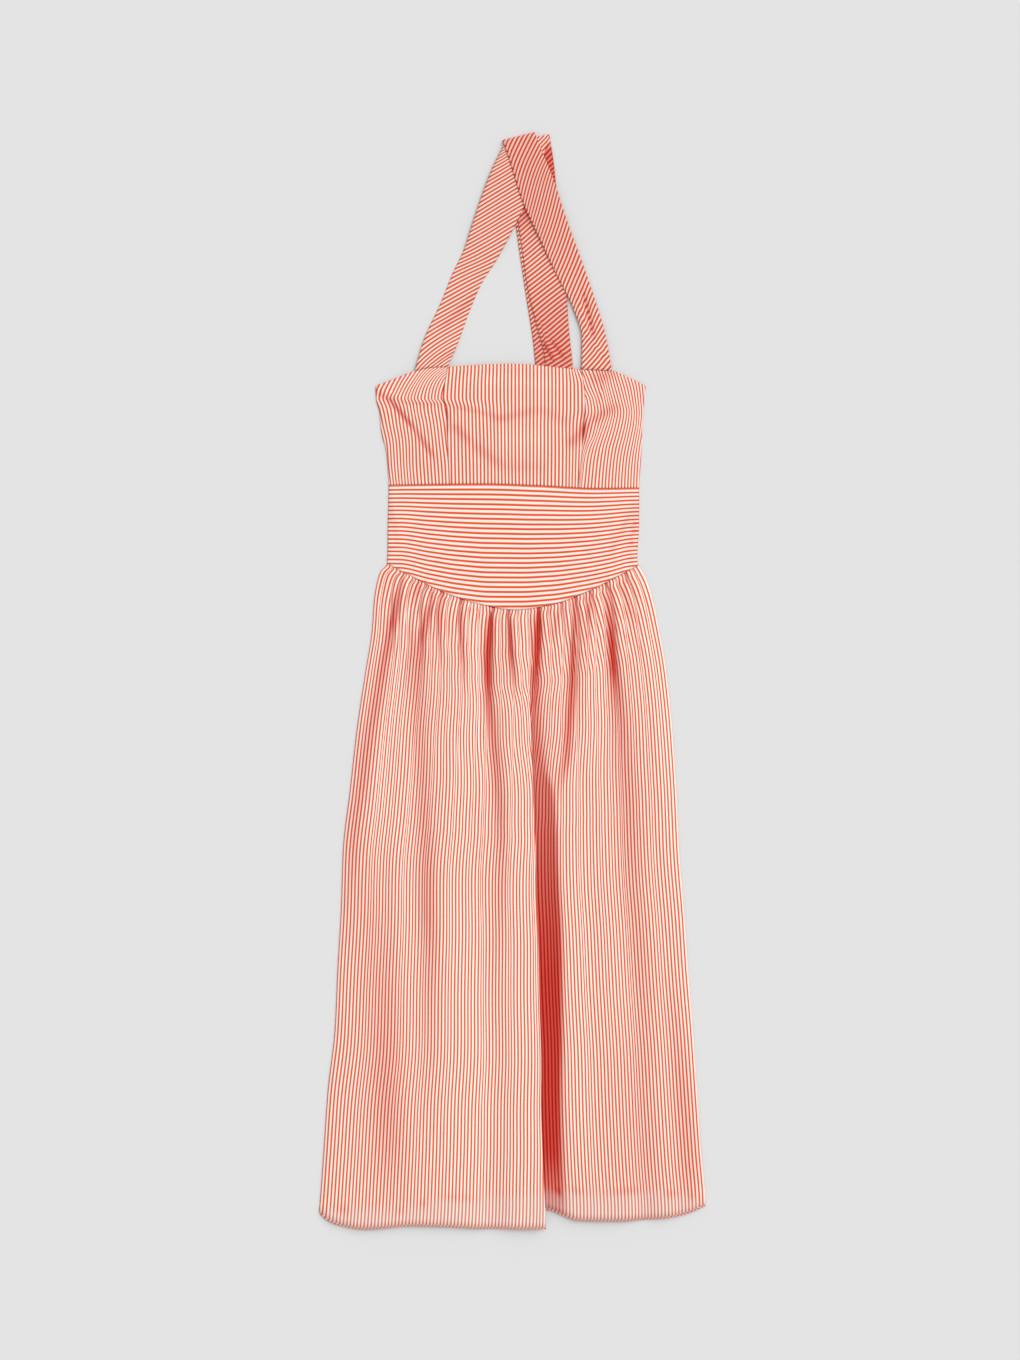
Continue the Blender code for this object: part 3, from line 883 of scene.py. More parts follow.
def stripe_group() -> bpy.types.NodeTree:
    """Builds the effect that every cotton finish shares: woven stripes, mixed towards painted shade colours
    where folds shade them.

    Returns:
        The node group. It puts out the cloth's colour with its painted shade, and a mask of its coloured
        threads.
    """
    made = new_group(
        "woven_stripes",
        [
            ("Over", FLOAT), ("Along", FLOAT), ("Period", FLOAT), ("Line Share", FLOAT),
            ("Fold Shade", FLOAT), ("Backed", FLOAT), ("Line", COLOUR), ("Ground", COLOUR),
            ("Shaded Line", COLOUR), ("Shaded Ground", COLOUR), ("Single Layer", COLOUR),
        ],
        [("Color", COLOUR), ("Line Mask", FLOAT)],
    )
    source = made.add("NodeGroupInput").outputs
    result = made.add("NodeGroupOutput").inputs
    place = made.add("ShaderNodeCombineXYZ")
    made.join(source["Over"], place.inputs[0])
    made.join(made.math("MULTIPLY", source["Along"], ALONG_STRETCH), place.inputs[1])
    cloud = made.math("SUBTRACT", made.noise(place.outputs[0], WAVERS_A_METRE, 2.0), 0.5)
    waver = made.math("MULTIPLY", cloud, WAVER)
    count = made.math("DIVIDE", made.math("ADD", source["Over"], waver), source["Period"])
    off_line = made.math("MULTIPLY", made.math("PINGPONG", count, 0.5), 2.0)
    low = made.math("SUBTRACT", source["Line Share"], STRIPE_SOFTNESS)
    high = made.math("ADD", source["Line Share"], STRIPE_SOFTNESS)
    mask = made.math("SUBTRACT", 1.0, made.band(off_line, low, high))
    thread = made.math("MULTIPLY", made.noise(place.outputs[0], THREADS_A_METRE, 1.0), WORN_SPREAD)
    worn = made.math("MULTIPLY", mask, made.math("ADD", WORN_LEAST, thread))
    # Painted shade: the fold shade mixes each stripe colour towards its darker, redder colour deep in a
    # fold
    line = made.mix(source["Fold Shade"], source["Line"], source["Shaded Line"])
    ground = made.mix(source["Fold Shade"], source["Ground"], source["Shaded Ground"])
    cloth = made.mix(worn, ground, line)
    # Where the front lies in one layer, a grey is mixed in: the table seen through the thin cloth, with its
    # shadow painted
    single = made.math("MULTIPLY", made.math("SUBTRACT", 1.0, source["Backed"]), SINGLE_LAYER_SHARE)
    made.join(made.mix(single, cloth, source["Single Layer"]), result["Color"])
    made.join(mask, result["Line Mask"])
    return made.tree


def weave_group() -> bpy.types.NodeTree:
    """Builds the effect of plain weave: threads that pass over and under each other.

    Returns:
        The node group. It puts out a height, and a roughness that varies from thread to thread.
    """
    made = new_group(
        "plain_weave",
        [("Over", FLOAT), ("Along", FLOAT), ("Pitch", FLOAT), ("Base Roughness", FLOAT)],
        [("Height", FLOAT), ("Roughness", FLOAT)],
    )
    source = made.add("NodeGroupInput").outputs
    result = made.add("NodeGroupOutput").inputs
    half_turn = made.math("DIVIDE", math.pi, source["Pitch"])
    warp = made.math("SINE", made.math("MULTIPLY", source["Over"], half_turn))
    weft = made.math("SINE", made.math("MULTIPLY", source["Along"], half_turn))
    crossing = made.math("MULTIPLY", warp, weft)
    place = made.add("ShaderNodeCombineXYZ")
    made.join(source["Over"], place.inputs[0])
    made.join(source["Along"], place.inputs[1])
    slub = made.noise(place.outputs[0], SLUBS_A_METRE, 2.0)
    raised = made.math("MULTIPLY", crossing, CROSSING_SHARE)
    made.join(made.math("ADD", raised, slub), result["Height"])
    spread = made.math("MULTIPLY", made.math("SUBTRACT", slub, 0.5), SLUB_ROUGHNESS)
    made.join(made.math("ADD", source["Base Roughness"], spread), result["Roughness"])
    return made.tree


class LeastShade(Enum):
    """The least painted shade that a finish gets: none in the open, some all over on the back and the hems.
    """

    OPEN = 0.0
    PAINTED_SHADE = 0.45


@dataclass(frozen=True)
class CottonFinish:
    """Striped cotton: its colours, the share of each stripe that is coloured, and its weave."""

    name: str
    line_share: float
    least_shade: LeastShade = LeastShade.OPEN
    line: tuple[float, float, float, float] = (0.82, 0.085, 0.018, 1.0)
    ground: tuple[float, float, float, float] = (0.90, 0.87, 0.77, 1.0)
    # The deep line and ground colours are painted shade: the stripes deep in a fold, darker and redder
    shaded_line: tuple[float, float, float, float] = (0.40, 0.003, 0.003, 1.0)
    shaded_ground: tuple[float, float, float, float] = (0.62, 0.075, 0.045, 1.0)
    # Grey of the table in the cloth's shadow, seen through a single layer: painted shadow
    single_layer: tuple[float, float, float, float] = (0.55, 0.57, 0.545, 1.0)
    pitch: float = 0.00045
    roughness: float = 0.86
    relief: float = 0.00012
    bump: float = 0.35
    specular: float = 0.12
    sheen: float = 0.05
    sheen_roughness: float = 0.45
    viewport: tuple[float, float, float, float] = (0.90, 0.47, 0.38, 1.0)

    def material(self, stripes: bpy.types.NodeTree, weave: bpy.types.NodeTree) -> bpy.types.Material:
        """Makes the finish as a material.

        Args:
            stripes: The shared group of woven stripes.
            weave: The shared group of plain weave.

        Returns:
            The material, which reads the cloth's own threads from its UV map.
        """
        made = bpy.data.materials.new(self.name)
        made.use_nodes = True
        tree = ShaderTree(made.node_tree)
        shader = made.node_tree.nodes["Principled BSDF"]
        threads = tree.add("ShaderNodeSeparateXYZ")
        tree.join(tree.add("ShaderNodeUVMap", uv_map="threads").outputs[0], threads.inputs[0])
        over, along = threads.outputs[0], threads.outputs[1]
        shade = tree.add("ShaderNodeAttribute", attribute_name="fold_shade").outputs["Fac"]
        backed = tree.add("ShaderNodeAttribute", attribute_name="backed").outputs["Fac"]
        striped = tree.add("ShaderNodeGroup", node_tree=stripes)
        # Painted shade, never below the finish's least
        shade = tree.math("MAXIMUM", shade, self.least_shade.value)
        for label, value in (
            ("Over", over), ("Along", along), ("Period", STRIPE * MM), ("Line Share", self.line_share),
            ("Fold Shade", shade), ("Backed", backed), ("Line", self.line), ("Ground", self.ground),
            ("Shaded Line", self.shaded_line), ("Shaded Ground", self.shaded_ground),
            ("Single Layer", self.single_layer),
        ):
            tree.join(value, striped.inputs[label])
        woven = tree.add("ShaderNodeGroup", node_tree=weave)
        for label, value in (
            ("Over", over), ("Along", along), ("Pitch", self.pitch), ("Base Roughness", self.roughness),
        ):
            tree.join(value, woven.inputs[label])
        bump = tree.add("ShaderNodeBump")
        bump.inputs["Strength"].default_value = self.bump
        bump.inputs["Distance"].default_value = self.relief
        tree.join(woven.outputs["Height"], bump.inputs["Height"])
        tree.join(striped.outputs["Color"], shader.inputs["Base Color"])
        tree.join(woven.outputs["Roughness"], shader.inputs["Roughness"])
        tree.join(bump.outputs[0], shader.inputs["Normal"])
        shader.inputs["Specular IOR Level"].default_value = self.specular
        shader.inputs["Sheen Weight"].default_value = self.sheen
        shader.inputs["Sheen Roughness"].default_value = self.sheen_roughness
        made.diffuse_color = self.viewport
        return made


@dataclass(frozen=True)
class ThreadFinish:
    """Sewing thread: a soft twisted cord."""

    name: str = "sewing_thread"
    colour: tuple[float, float, float, float] = (0.86, 0.70, 0.62, 1.0)
    shadow: tuple[float, float, float, float] = (0.70, 0.42, 0.34, 1.0)
    twists_a_metre: float = 2600.0
    bump: float = 0.3
    relief: float = 0.0001
    roughness: float = 0.7
    sheen: float = 0.2

    def material(self) -> bpy.types.Material:
        """Makes the finish as a material.

        Returns:
            The material.
        """
        made = bpy.data.materials.new(self.name)
        made.use_nodes = True
        tree = ShaderTree(made.node_tree)
        shader = made.node_tree.nodes["Principled BSDF"]
        place = tree.add("ShaderNodeTexCoord").outputs["Object"]
        twist = tree.noise(place, self.twists_a_metre, 1.0)
        tree.join(tree.mix(twist, self.shadow, self.colour), shader.inputs["Base Color"])
        bump = tree.add("ShaderNodeBump")
        bump.inputs["Strength"].default_value = self.bump
        bump.inputs["Distance"].default_value = self.relief
        tree.join(twist, bump.inputs["Height"])
        tree.join(bump.outputs[0], shader.inputs["Normal"])
        shader.inputs["Roughness"].default_value = self.roughness
        shader.inputs["Sheen Weight"].default_value = self.sheen
        return made


@dataclass
class Wardrobe:
    """The finishes of the dress, each made once."""

    skirt: bpy.types.Material = field(init=False)
    bodice: bpy.types.Material = field(init=False)
    band: bpy.types.Material = field(init=False)
    strap: bpy.types.Material = field(init=False)
    inside: bpy.types.Material = field(init=False)
    hem: bpy.types.Material = field(init=False)
    thread: bpy.types.Material = field(init=False)

    def __post_init__(self) -> None:
        """Makes the shared groups and then each material."""
        stripes, weave = stripe_group(), weave_group()
        self.skirt = CottonFinish("skirt_cotton", line_share=0.48).material(stripes, weave)
        self.bodice = CottonFinish("bodice_cotton", line_share=0.49).material(stripes, weave)
        self.band = CottonFinish("band_cotton", line_share=0.46).material(stripes, weave)
        # The straps' line and ground are the cloth's colours darkened a little: painted shade
        self.strap = CottonFinish(
            "strap_cotton",
            line_share=0.50,
            line=(0.76, 0.075, 0.016, 1.0),
            ground=(0.83, 0.80, 0.70, 1.0),
        ).material(stripes, weave)
        # The back and the hems get painted shade all over
        self.inside = CottonFinish(
            "back_cotton", line_share=0.50, least_shade=LeastShade.PAINTED_SHADE
        ).material(stripes, weave)
        self.hem = CottonFinish(
            "hem_cotton", line_share=0.52, least_shade=LeastShade.PAINTED_SHADE
        ).material(stripes, weave)
        self.thread = ThreadFinish().material()


def to_metres(across: np.ndarray, drop: np.ndarray, height: np.ndarray) -> np.ndarray:
    """Points in the frame's metres from measures of the dress in millimetres."""
    return np.stack([across, LENGTH / 2 - drop, height], axis=-1) * MM


def new_piece(name: str, mesh: bpy.types.Mesh, material: bpy.types.Material) -> bpy.types.Object:
    """Puts a mesh in the scene as a piece of the dress.

    Args:
        name: The piece's name.
        mesh: Its mesh.
        material: Its finish.

    Returns:
        The piece, which moves with the dress.
    """
    mesh.materials.append(material)
    mesh.shade_smooth()
    piece = bpy.data.objects.new(name, mesh)
    bpy.context.scene.collection.objects.link(piece)
    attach(piece, BODY)
    return piece


@dataclass
class ClothGrid:
    """A grid of cloth, row by row from its top edge: where it lies and which threads it is on."""

    across: np.ndarray
    drop: np.ndarray
    height: np.ndarray
    over: np.ndarray
    along: np.ndarray
    shade: np.ndarray
    backed: np.ndarray

    def points(self) -> np.ndarray:
        """The grid's points in metres."""
        return to_metres(self.across, self.drop, self.height)

    def make(self, name: str, material: bpy.types.Material, thickness: float) -> bpy.types.Object:
        """Makes the cloth as a thin shell.

        Args:
            name: The piece's name.
            material: Its finish.
            thickness: The cloth's thickness in millimetres.

        Returns:
            The piece.
        """
        rows, columns = self.across.shape
        index = np.arange(rows * columns).reshape(rows, columns)
        quads = np.stack(
            [index[:-1, :-1], index[1:, :-1], index[1:, 1:], index[:-1, 1:]], axis=-1
        ).reshape(-1, 4)
        mesh = bpy.data.meshes.new(name)
        mesh.from_pydata(self.points().reshape(-1, 3).tolist(), [], quads.tolist())
        threads = np.stack([self.over, self.along], axis=-1).reshape(-1, 2) * MM
        layer = mesh.uv_layers.new(name="threads")
        layer.data.foreach_set("uv", threads[quads.ravel()].ravel())
        for label, values in (("fold_shade", self.shade), ("backed", self.backed)):
            attribute = mesh.attributes.new(label, "FLOAT", "POINT")
            attribute.data.foreach_set("value", np.clip(values, 0, 1).astype(np.float32).ravel())
        piece = new_piece(name, mesh, material)
        wall = piece.modifiers.new("cloth", "SOLIDIFY")
        wall.thickness = thickness * MM
        wall.offset = 0.0
        return piece


@dataclass
class StitchRow:
    """A row of stitches along a line of points on the cloth, with its sizes in millimetres."""

    name: str
    line: np.ndarray
    pitch: float = 3.0
    length: float = 2.1
    radius: float = 0.22
    sides: int = 6
    flatness: float = 0.7
    look_ahead: float = 0.5

    # Each stitch is a few rings, at shares of its length and in shares of its thickness
    ring_shares: tuple[float, ...] = (-0.5, -0.38, 0.38, 0.5)
    ring_sizes: tuple[float, ...] = (0.25, 1.0, 1.0, 0.25)

    def make(self, material: bpy.types.Material) -> bpy.types.Object:
        """Makes the row as one piece.

        Args:
            material: The thread's finish.

        Returns:
            The piece.
        """
        line = self.line / MM
        stations = np.concatenate([[0], np.cumsum(np.linalg.norm(np.diff(line, axis=0), axis=1))])
        centres = np.arange(self.pitch, stations[-1] - self.pitch / 2, self.pitch)
        spans = len(self.ring_shares) - 1
        turns = np.arange(self.sides) * 2 * math.pi / self.sides
        points, faces = [], []
        for centre in centres:
            base = len(points)
            for share, size in zip(self.ring_shares, self.ring_sizes):
                place = centre + share * self.length
                middle = np.array([np.interp(place, stations, line[:, k]) for k in range(3)])
                ahead = np.array(
                    [np.interp(place + self.look_ahead, stations, line[:, k]) for k in range(3)]
                )
                tangent = (ahead - middle) / max(np.linalg.norm(ahead - middle), TINY)
                sideways = np.cross(tangent, [0, 0, 1])
                sideways /= max(np.linalg.norm(sideways), TINY)
                up = np.cross(sideways, tangent)
                for turn in turns:
                    offset = sideways * math.cos(turn) + up * math.sin(turn) * self.flatness
                    points.append((middle + offset * self.radius * size) * MM)
            for ring in range(spans):
                for side in range(self.sides):
                    after = (side + 1) % self.sides
                    low, high = base + ring * self.sides, base + (ring + 1) * self.sides
                    faces.append((low + side, low + after, high + after, high + side))
            faces.append(tuple(base + side for side in reversed(range(self.sides))))
            faces.append(tuple(base + spans * self.sides + side for side in range(self.sides)))
        mesh = bpy.data.meshes.new(self.name)
        mesh.from_pydata([tuple(p) for p in points], [], faces)
        return new_piece(self.name, mesh, material)


@dataclass
class RolledHem:
    """A narrow hem rolled round the raw edge of a skirt panel."""

    name: str
    line: np.ndarray
    over: np.ndarray
    radius: float = 1.0
    twist: float = 6.5
    sides: int = 10
    flatness: float = 0.75

    def make(self, material: bpy.types.Material) -> bpy.types.Object:
        """Makes the hem as a slim tube whose stripes run round it aslant.

        Args:
            material: The hem's finish.

        Returns:
            The piece.
        """
        count = len(self.line)
        tangents = np.gradient(self.line, axis=0)
        tangents /= np.linalg.norm(tangents, axis=1, keepdims=True)
        outward = np.cross(tangents, [0, 0, 1.0])
        outward /= np.linalg.norm(outward, axis=1, keepdims=True)
        up = np.cross(outward, tangents)
        turns = np.linspace(0, 2 * math.pi, self.sides + 1)
        ring = (
            outward[:, None, :] * np.cos(turns)[None, :, None]
            + up[:, None, :] * np.sin(turns)[None, :, None] * self.flatness
        )
        points = self.line[:, None, :] + ring * self.radius * MM
        over = self.over[:, None] + self.twist * turns[None, :] / (2 * math.pi)
        index = np.arange(count * self.sides).reshape(count, self.sides)
        faces, threads = [], []
        for i in range(count - 1):
            for j in range(self.sides):
                k = (j + 1) % self.sides
                faces.append((index[i, j], index[i, k], index[i + 1, k], index[i + 1, j]))
                for row, column in ((i, j), (i, j + 1), (i + 1, j + 1), (i + 1, j)):
                    threads.append((over[row, column] * MM, column * self.radius * MM))
        for end, order in ((0, range(self.sides - 1, -1, -1)), (count - 1, range(self.sides))):
            faces.append(tuple(index[end, j] for j in order))
            threads.extend((over[end, j] * MM, 0.0) for j in order)
        mesh = bpy.data.meshes.new(self.name)
        mesh.from_pydata(points[:, :-1].reshape(-1, 3).tolist(), [], [tuple(map(int, f)) for f in faces])
        layer = mesh.uv_layers.new(name="threads")
        layer.data.foreach_set("uv", np.array(threads, np.float32).ravel())
        for label, value in (("fold_shade", 0.0), ("backed", 1.0)):
            attribute = mesh.attributes.new(label, "FLOAT", "POINT")
            attribute.data.foreach_set("value", np.full(count * self.sides, value, np.float32))
        return new_piece(self.name, mesh, material)


@dataclass
class Panel:
    """A bodice or band panel between its top and bottom edges and its two sides."""

    name: str
    shape: Silhouette
    top: Curve
    bottom: Curve
    left: Curve
    right: Curve
    crumples: Sequence[Crumple]
    columns: int
    rows: int
    rolled: tuple[bool, bool]
    # Painted shade over the whole panel
    base_shade: float = 0.10
    unevenness: float = 0.25

    # How the cloth dips near its edges, and the painted shade it gets there, each over a width in
    # millimetres
    seam_dip: float = 0.6
    side_dip: float = 0.5
    rolled_dip: float = 1.5
    dip_width: float = 1.3
    rolled_width: float = 2.6
    edge_shade: float = 0.18
    edge_shade_width: float = 1.2

    def grid(self, over: Callable[[np.ndarray, np.ndarray, np.ndarray], np.ndarray]) -> ClothGrid:
        """Lays the panel out.

        Args:
            over: Counts the cloth across the stripes from the places across, the drops and the shares.

        Returns:
            The panel's cloth.
        """
        share, down = np.meshgrid(np.linspace(0, 1, self.columns + 1), np.linspace(0, 1, self.rows + 1))
        drop = self.top(share) + (self.bottom(share) - self.top(share)) * down
        left, right = self.left(drop), self.right(drop)
        across = left + (right - left) * share
        rise, jog, shade = crumple_field(self.crumples, across, drop)
        height = self.shape.front_height(across, drop) + rise + ripple(across, drop, self.unevenness)
        tall, wide = self.bottom(share) - self.top(share), right - left
        rolled = (self.rolled_dip, self.rolled_width)
        plain = (self.side_dip, self.dip_width)
        edges = [
            (down * tall, self.seam_dip, self.dip_width),
            ((1 - down) * tall, self.seam_dip, self.dip_width),
            (share * wide, *(rolled if self.rolled[0] else plain)),
            ((1 - share) * wide, *(rolled if self.rolled[1] else plain)),
        ]
        for distance, depth, reach in edges:
            height -= depth * bell(distance / reach)
            shade = shade + self.edge_shade * bell(distance / self.edge_shade_width)
        height = np.maximum(height, LOWEST_FRONT)
        return ClothGrid(
            across, drop, height, over(across, drop, share) + jog, drop, shade + self.base_shade,
            np.ones_like(across),
        )


@dataclass
class Bodice:
    """The bodice: a centre front, two side fronts and a back."""

    shape: Silhouette
    wardrobe: Wardrobe
    columns_centre: int = 110
    columns_side: int = 64
    rows: int = 100
    back_columns: int = 70
    back_rows: int = 30
    stitched_row: int = 3
    side_fill: float = 0.94
    centre_fill: float = 0.97
    side_left_cut: tuple[float, float] = (0.108, 0.172)
    centre_cut: tuple[float, float] = (0.206, 0.178)
    side_right_cut: tuple[float, float] = (0.094, 0.172)
    back_cut: tuple[float, float] = (0.386, 0.131)

    def guides_left(self) -> StripeGuides:
        """Follows the stripes of the left side front, which are drawn up into the strap.

        Returns:
            The stripes followed.
        """
        rows = (
            (0, (-175, -179, -185, -191, -196, -197, -194, -191.5, -186.5, -180.5, -178.5, -175)),
            (4, (-152, -155, -160, -166, -171, -175.5, -172.5, -170, -166.5, -162, -160.5, -158.5)),
            (8, (-128, -132.5, -138, -145, -151, -154.5, -152, -150.5, -147, -143.5, -143, -140.5)),
            (12, (-105.5, -113.5, -122, -129, -133.5, -136, -132.5, -132, -127.5, -124, -122, -120)),
            (15, (-91.5, -98.5, -108, -115.5, -119, -120.5, -116.5, -116, -112.5, -109, -106.5, -104.5)),
            (18, (-78.5, -85.5, -95, -101.5, -105, -106.5, -102, -101, -97.5, -94.5, -91, -90)),
        )
        drops = (342, 347, 355, 365.5, 376, 386.5, 394.5, 401.5, 424, 453, 482, 511)
        return StripeGuides(drops, [GuideStripe(*row) for row in rows])

    def guides_centre(self) -> StripeGuides:
        """Follows the stripes of the centre front, which jog at the crease from its left seam.

        Returns:
            The stripes followed.
        """
        rows = (
            (0, (-90, -92, -93, -88.5, -88, -87.5, -86.5)),
            (5, (-63.5, -65, -65.5, -62.5, -62, -61, -60)),
            (10, (-37, -38, -38, -36.5, -35.5, -34.5, -34)),
            (18, (5.5, 5.5, 5.5, 5.5, 5.5, 5.5, 6)),
            (26, (48, 48, 48, 48, 47.5, 47.5, 47)),
            (32, (79.5, 80, 80, 80, 79, 79.5, 79)),
            (36, (95, 101.5, 102, 102, 99.5, 98, 96.5)),
        )
        drops = (345, 367, 385.5, 401.5, 425, 461, 512)
        return StripeGuides(drops, [GuideStripe(*row) for row in rows])

    def guides_right(self) -> StripeGuides:
        """Follows the stripes of the right side front, which bow out from its seam.

        Returns:
            The stripes followed.
        """
        rows = (
            (-3, (92.5, 96.5, 101.5, 109.5, 111.5, 107, 104, 101.5, 99.5, 99, 98)),
            (0, (104, 108, 115.5, 122.5, 125.5, 121.5, 117.5, 109.5, 105, 102.5, 100.5)),
            (3, (121.5, 124.5, 131, 135.5, 139, 134.5, 128.5, 123, 119.5, 117, 115.5)),
            (6, (133.5, 136.5, 141.5, 146, 149.5, 146.5, 142, 137, 134.5, 132, 131)),
            (10, (150.5, 153, 159, 163.5, 167, 164.5, 160.5, 156, 153, 151, 150)),
            (14, (169, 171, 177, 179.5, 181.5, 180.5, 177.5, 174, 171, 169, 168.5)),
            (18, (190, 191.5, 194, 195, 195.5, 193.5, 191.5, 189, 187.5, 186, 185.5)),
        )
        drops = (343.5, 351.5, 371.5, 389, 406.5, 424, 441, 458.5, 476, 499.5, 516)
        return StripeGuides(drops, [GuideStripe(*row) for row in rows])

    def side(self, share: float, gap: float) -> Curve:
        """Finds a panel's side from where it meets the underbust seam.

        Args:
            share: The share of that seam where the side ends.
            gap: How far right of the seam between two panels the side stands.

        Returns:
            The side's place across at each drop.
        """
        if share == 0:
            return self.shape.left
        if share == 1:
            return self.shape.right
        seam = self.shape.seam_left if share < 0.5 else self.shape.seam_right
        return lambda drop: seam(drop) + gap

    def panel(self, name: str, top: Sequence[Edge], first: float, last: float) -> Panel:
        """One of the three front panels.

        Args:
            name: The panel's name.
            top: Its top edge.
            first: The share of the underbust seam where it starts.
            last: The share of the underbust seam where it ends.

        Returns:
            The panel.
        """
        half = SEAM_GAP / 2
        underbust = edge_curve(UNDERBUST)
        at_left, at_right = first == 0, last == 1
        columns = self.columns_side if at_left or at_right else self.columns_centre
        return Panel(
            name, self.shape, edge_curve(top), lambda s: underbust(first + (last - first) * s) - half,
            self.side(first, half), self.side(last, -half), BODICE_CRUMPLES, columns, self.rows,
            (at_left, at_right),
        )

    def panels(self) -> dict[str, Panel]:
        """The front panels by name."""
        return {
            "side_left": self.panel("bodice_side_left", LEFT_ARMHOLE, 0, LEFT_PANEL_END),
            "centre": self.panel("bodice_centre", NECKLINE, LEFT_PANEL_END, RIGHT_PANEL_START),
            "side_right": self.panel("bodice_side_right", RIGHT_ARMHOLE, RIGHT_PANEL_START, 1),
        }

    def build(self) -> None:
        """Makes the panels, their edge stitching and the back."""
        guides = {
            "side_left": self.guides_left(),
            "centre": self.guides_centre(),
            "side_right": self.guides_right(),
        }
        for key, panel in self.panels().items():
            cloth = panel.grid(lambda x, d, s, g=guides[key]: g.over(x, d))
            piece = cloth.make("cloth_" + panel.name, self.wardrobe.bodice, CLOTH)
            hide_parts(panel.name)
            line = cloth.points()[self.stitched_row] + np.array([0, 0, CLOTH / 2 * MM])
            stitches = StitchRow("stitches_" + panel.name, line).make(self.wardrobe.thread)
            LOG.info("%s: %d points", piece.name, cloth.across.size)
        self.build_back()

    def build_back(self) -> None:
        """Makes the back, which lies flat on the table under the front."""
        bottom = float(edge_curve(UNDERBUST)(0.5)) - SEAM_GAP / 2
        columns = np.linspace(0, 1, self.back_columns + 1)
        share, down = np.meshgrid(columns, np.linspace(0, 1, self.back_rows + 1))
        drop = BACK_NECK_DROP + (bottom - BACK_NECK_DROP) * down
        left, right = self.shape.left(drop), self.shape.right(drop)
        across = left + (right - left) * share
        height = WALL / 2 + ripple(across, drop, BACK_UNEVENNESS)
        cloth = ClothGrid(
            across, drop, height, across - left, drop, np.zeros_like(across), np.ones_like(across)
        )
        piece = cloth.make("cloth_bodice_back", self.wardrobe.inside, CLOTH)
        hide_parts("bodice_back")
        LOG.info("%s: %d points", piece.name, cloth.across.size)


@dataclass
class Waistband:
    """The midriff band, straight above and dipping to a rounded point, with its stripes level."""

    shape: Silhouette
    wardrobe: Wardrobe
    columns: int = 180
    rows: int = 110
    back_columns: int = 90
    back_rows: int = 40
    fill: float = 0.88
    cut: tuple[float, float] = (0.372, 0.183)
    first_line: float = 1.2
    stripe_places: tuple[float, ...] = (-200, -162, -118, -75, -31, 12, 56, 99, 143, 172, 200)
    stripe_periods: tuple[float, ...] = (5.9, 5.95, 6.45, 6.85, 7.05, 7.0, 6.8, 6.4, 5.95, 5.6, 5.5)

    def over(self, across: np.ndarray, drop: np.ndarray, share: np.ndarray) -> np.ndarray:
        """Counts the cloth across the level stripes, which crowd together towards the sides.

        Args:
            across: Places across, in millimetres.
            drop: Places down the dress, in millimetres.
            share: Shares of the way across the band.

        Returns:
            Millimetres of cloth down from the band's first stripe.
        """
        period = smooth(self.stripe_places, self.stripe_periods)(across)
        top = edge_curve(UNDERBUST)(share) + self.first_line
        return (drop - top) / period * STRIPE

    def build(self) -> None:
        """Makes the front and back of the band and the stitching along its seams."""
        half = SEAM_GAP / 2
        underbust, basque = edge_curve(UNDERBUST), edge_curve(BASQUE)
        panel = Panel(
            "waistband_front", self.shape, lambda s: underbust(s) + half, lambda s: basque(s) - half,
            self.shape.band_left, self.shape.band_right, BAND_CRUMPLES, self.columns, self.rows,
            (True, True),
        )
        cloth = panel.grid(self.over)
        piece = cloth.make("cloth_waistband_front", self.wardrobe.band, CLOTH)
        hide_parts("waistband_front")
        lift = np.array([0, 0, CLOTH / 2 * MM])
        upper = StitchRow("stitches_waistband_top", cloth.points()[1] + lift).make(self.wardrobe.thread)
        lower = StitchRow("stitches_waistband_bottom", cloth.points()[-2] + lift).make(self.wardrobe.thread)
        LOG.info("%s: %d points", piece.name, cloth.across.size)

        columns = np.linspace(0, 1, self.back_columns + 1)
        share, down = np.meshgrid(columns, np.linspace(0, 1, self.back_rows + 1))
        top = float(underbust(0.5)) + half
        drop = top + (basque(share) - half - top) * down
        left, right = self.shape.band_left(drop), self.shape.band_right(drop)
        across = left + (right - left) * share
        back = ClothGrid(
            across, drop, WALL / 2 + ripple(across, drop, BACK_UNEVENNESS), self.over(across, drop, share),
            across, np.zeros_like(across), np.ones_like(across),
        )
        piece = back.make("cloth_waistband_back", self.wardrobe.inside, CLOTH)
        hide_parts("waistband_back")
        LOG.info("%s: %d points", piece.name, back.across.size)


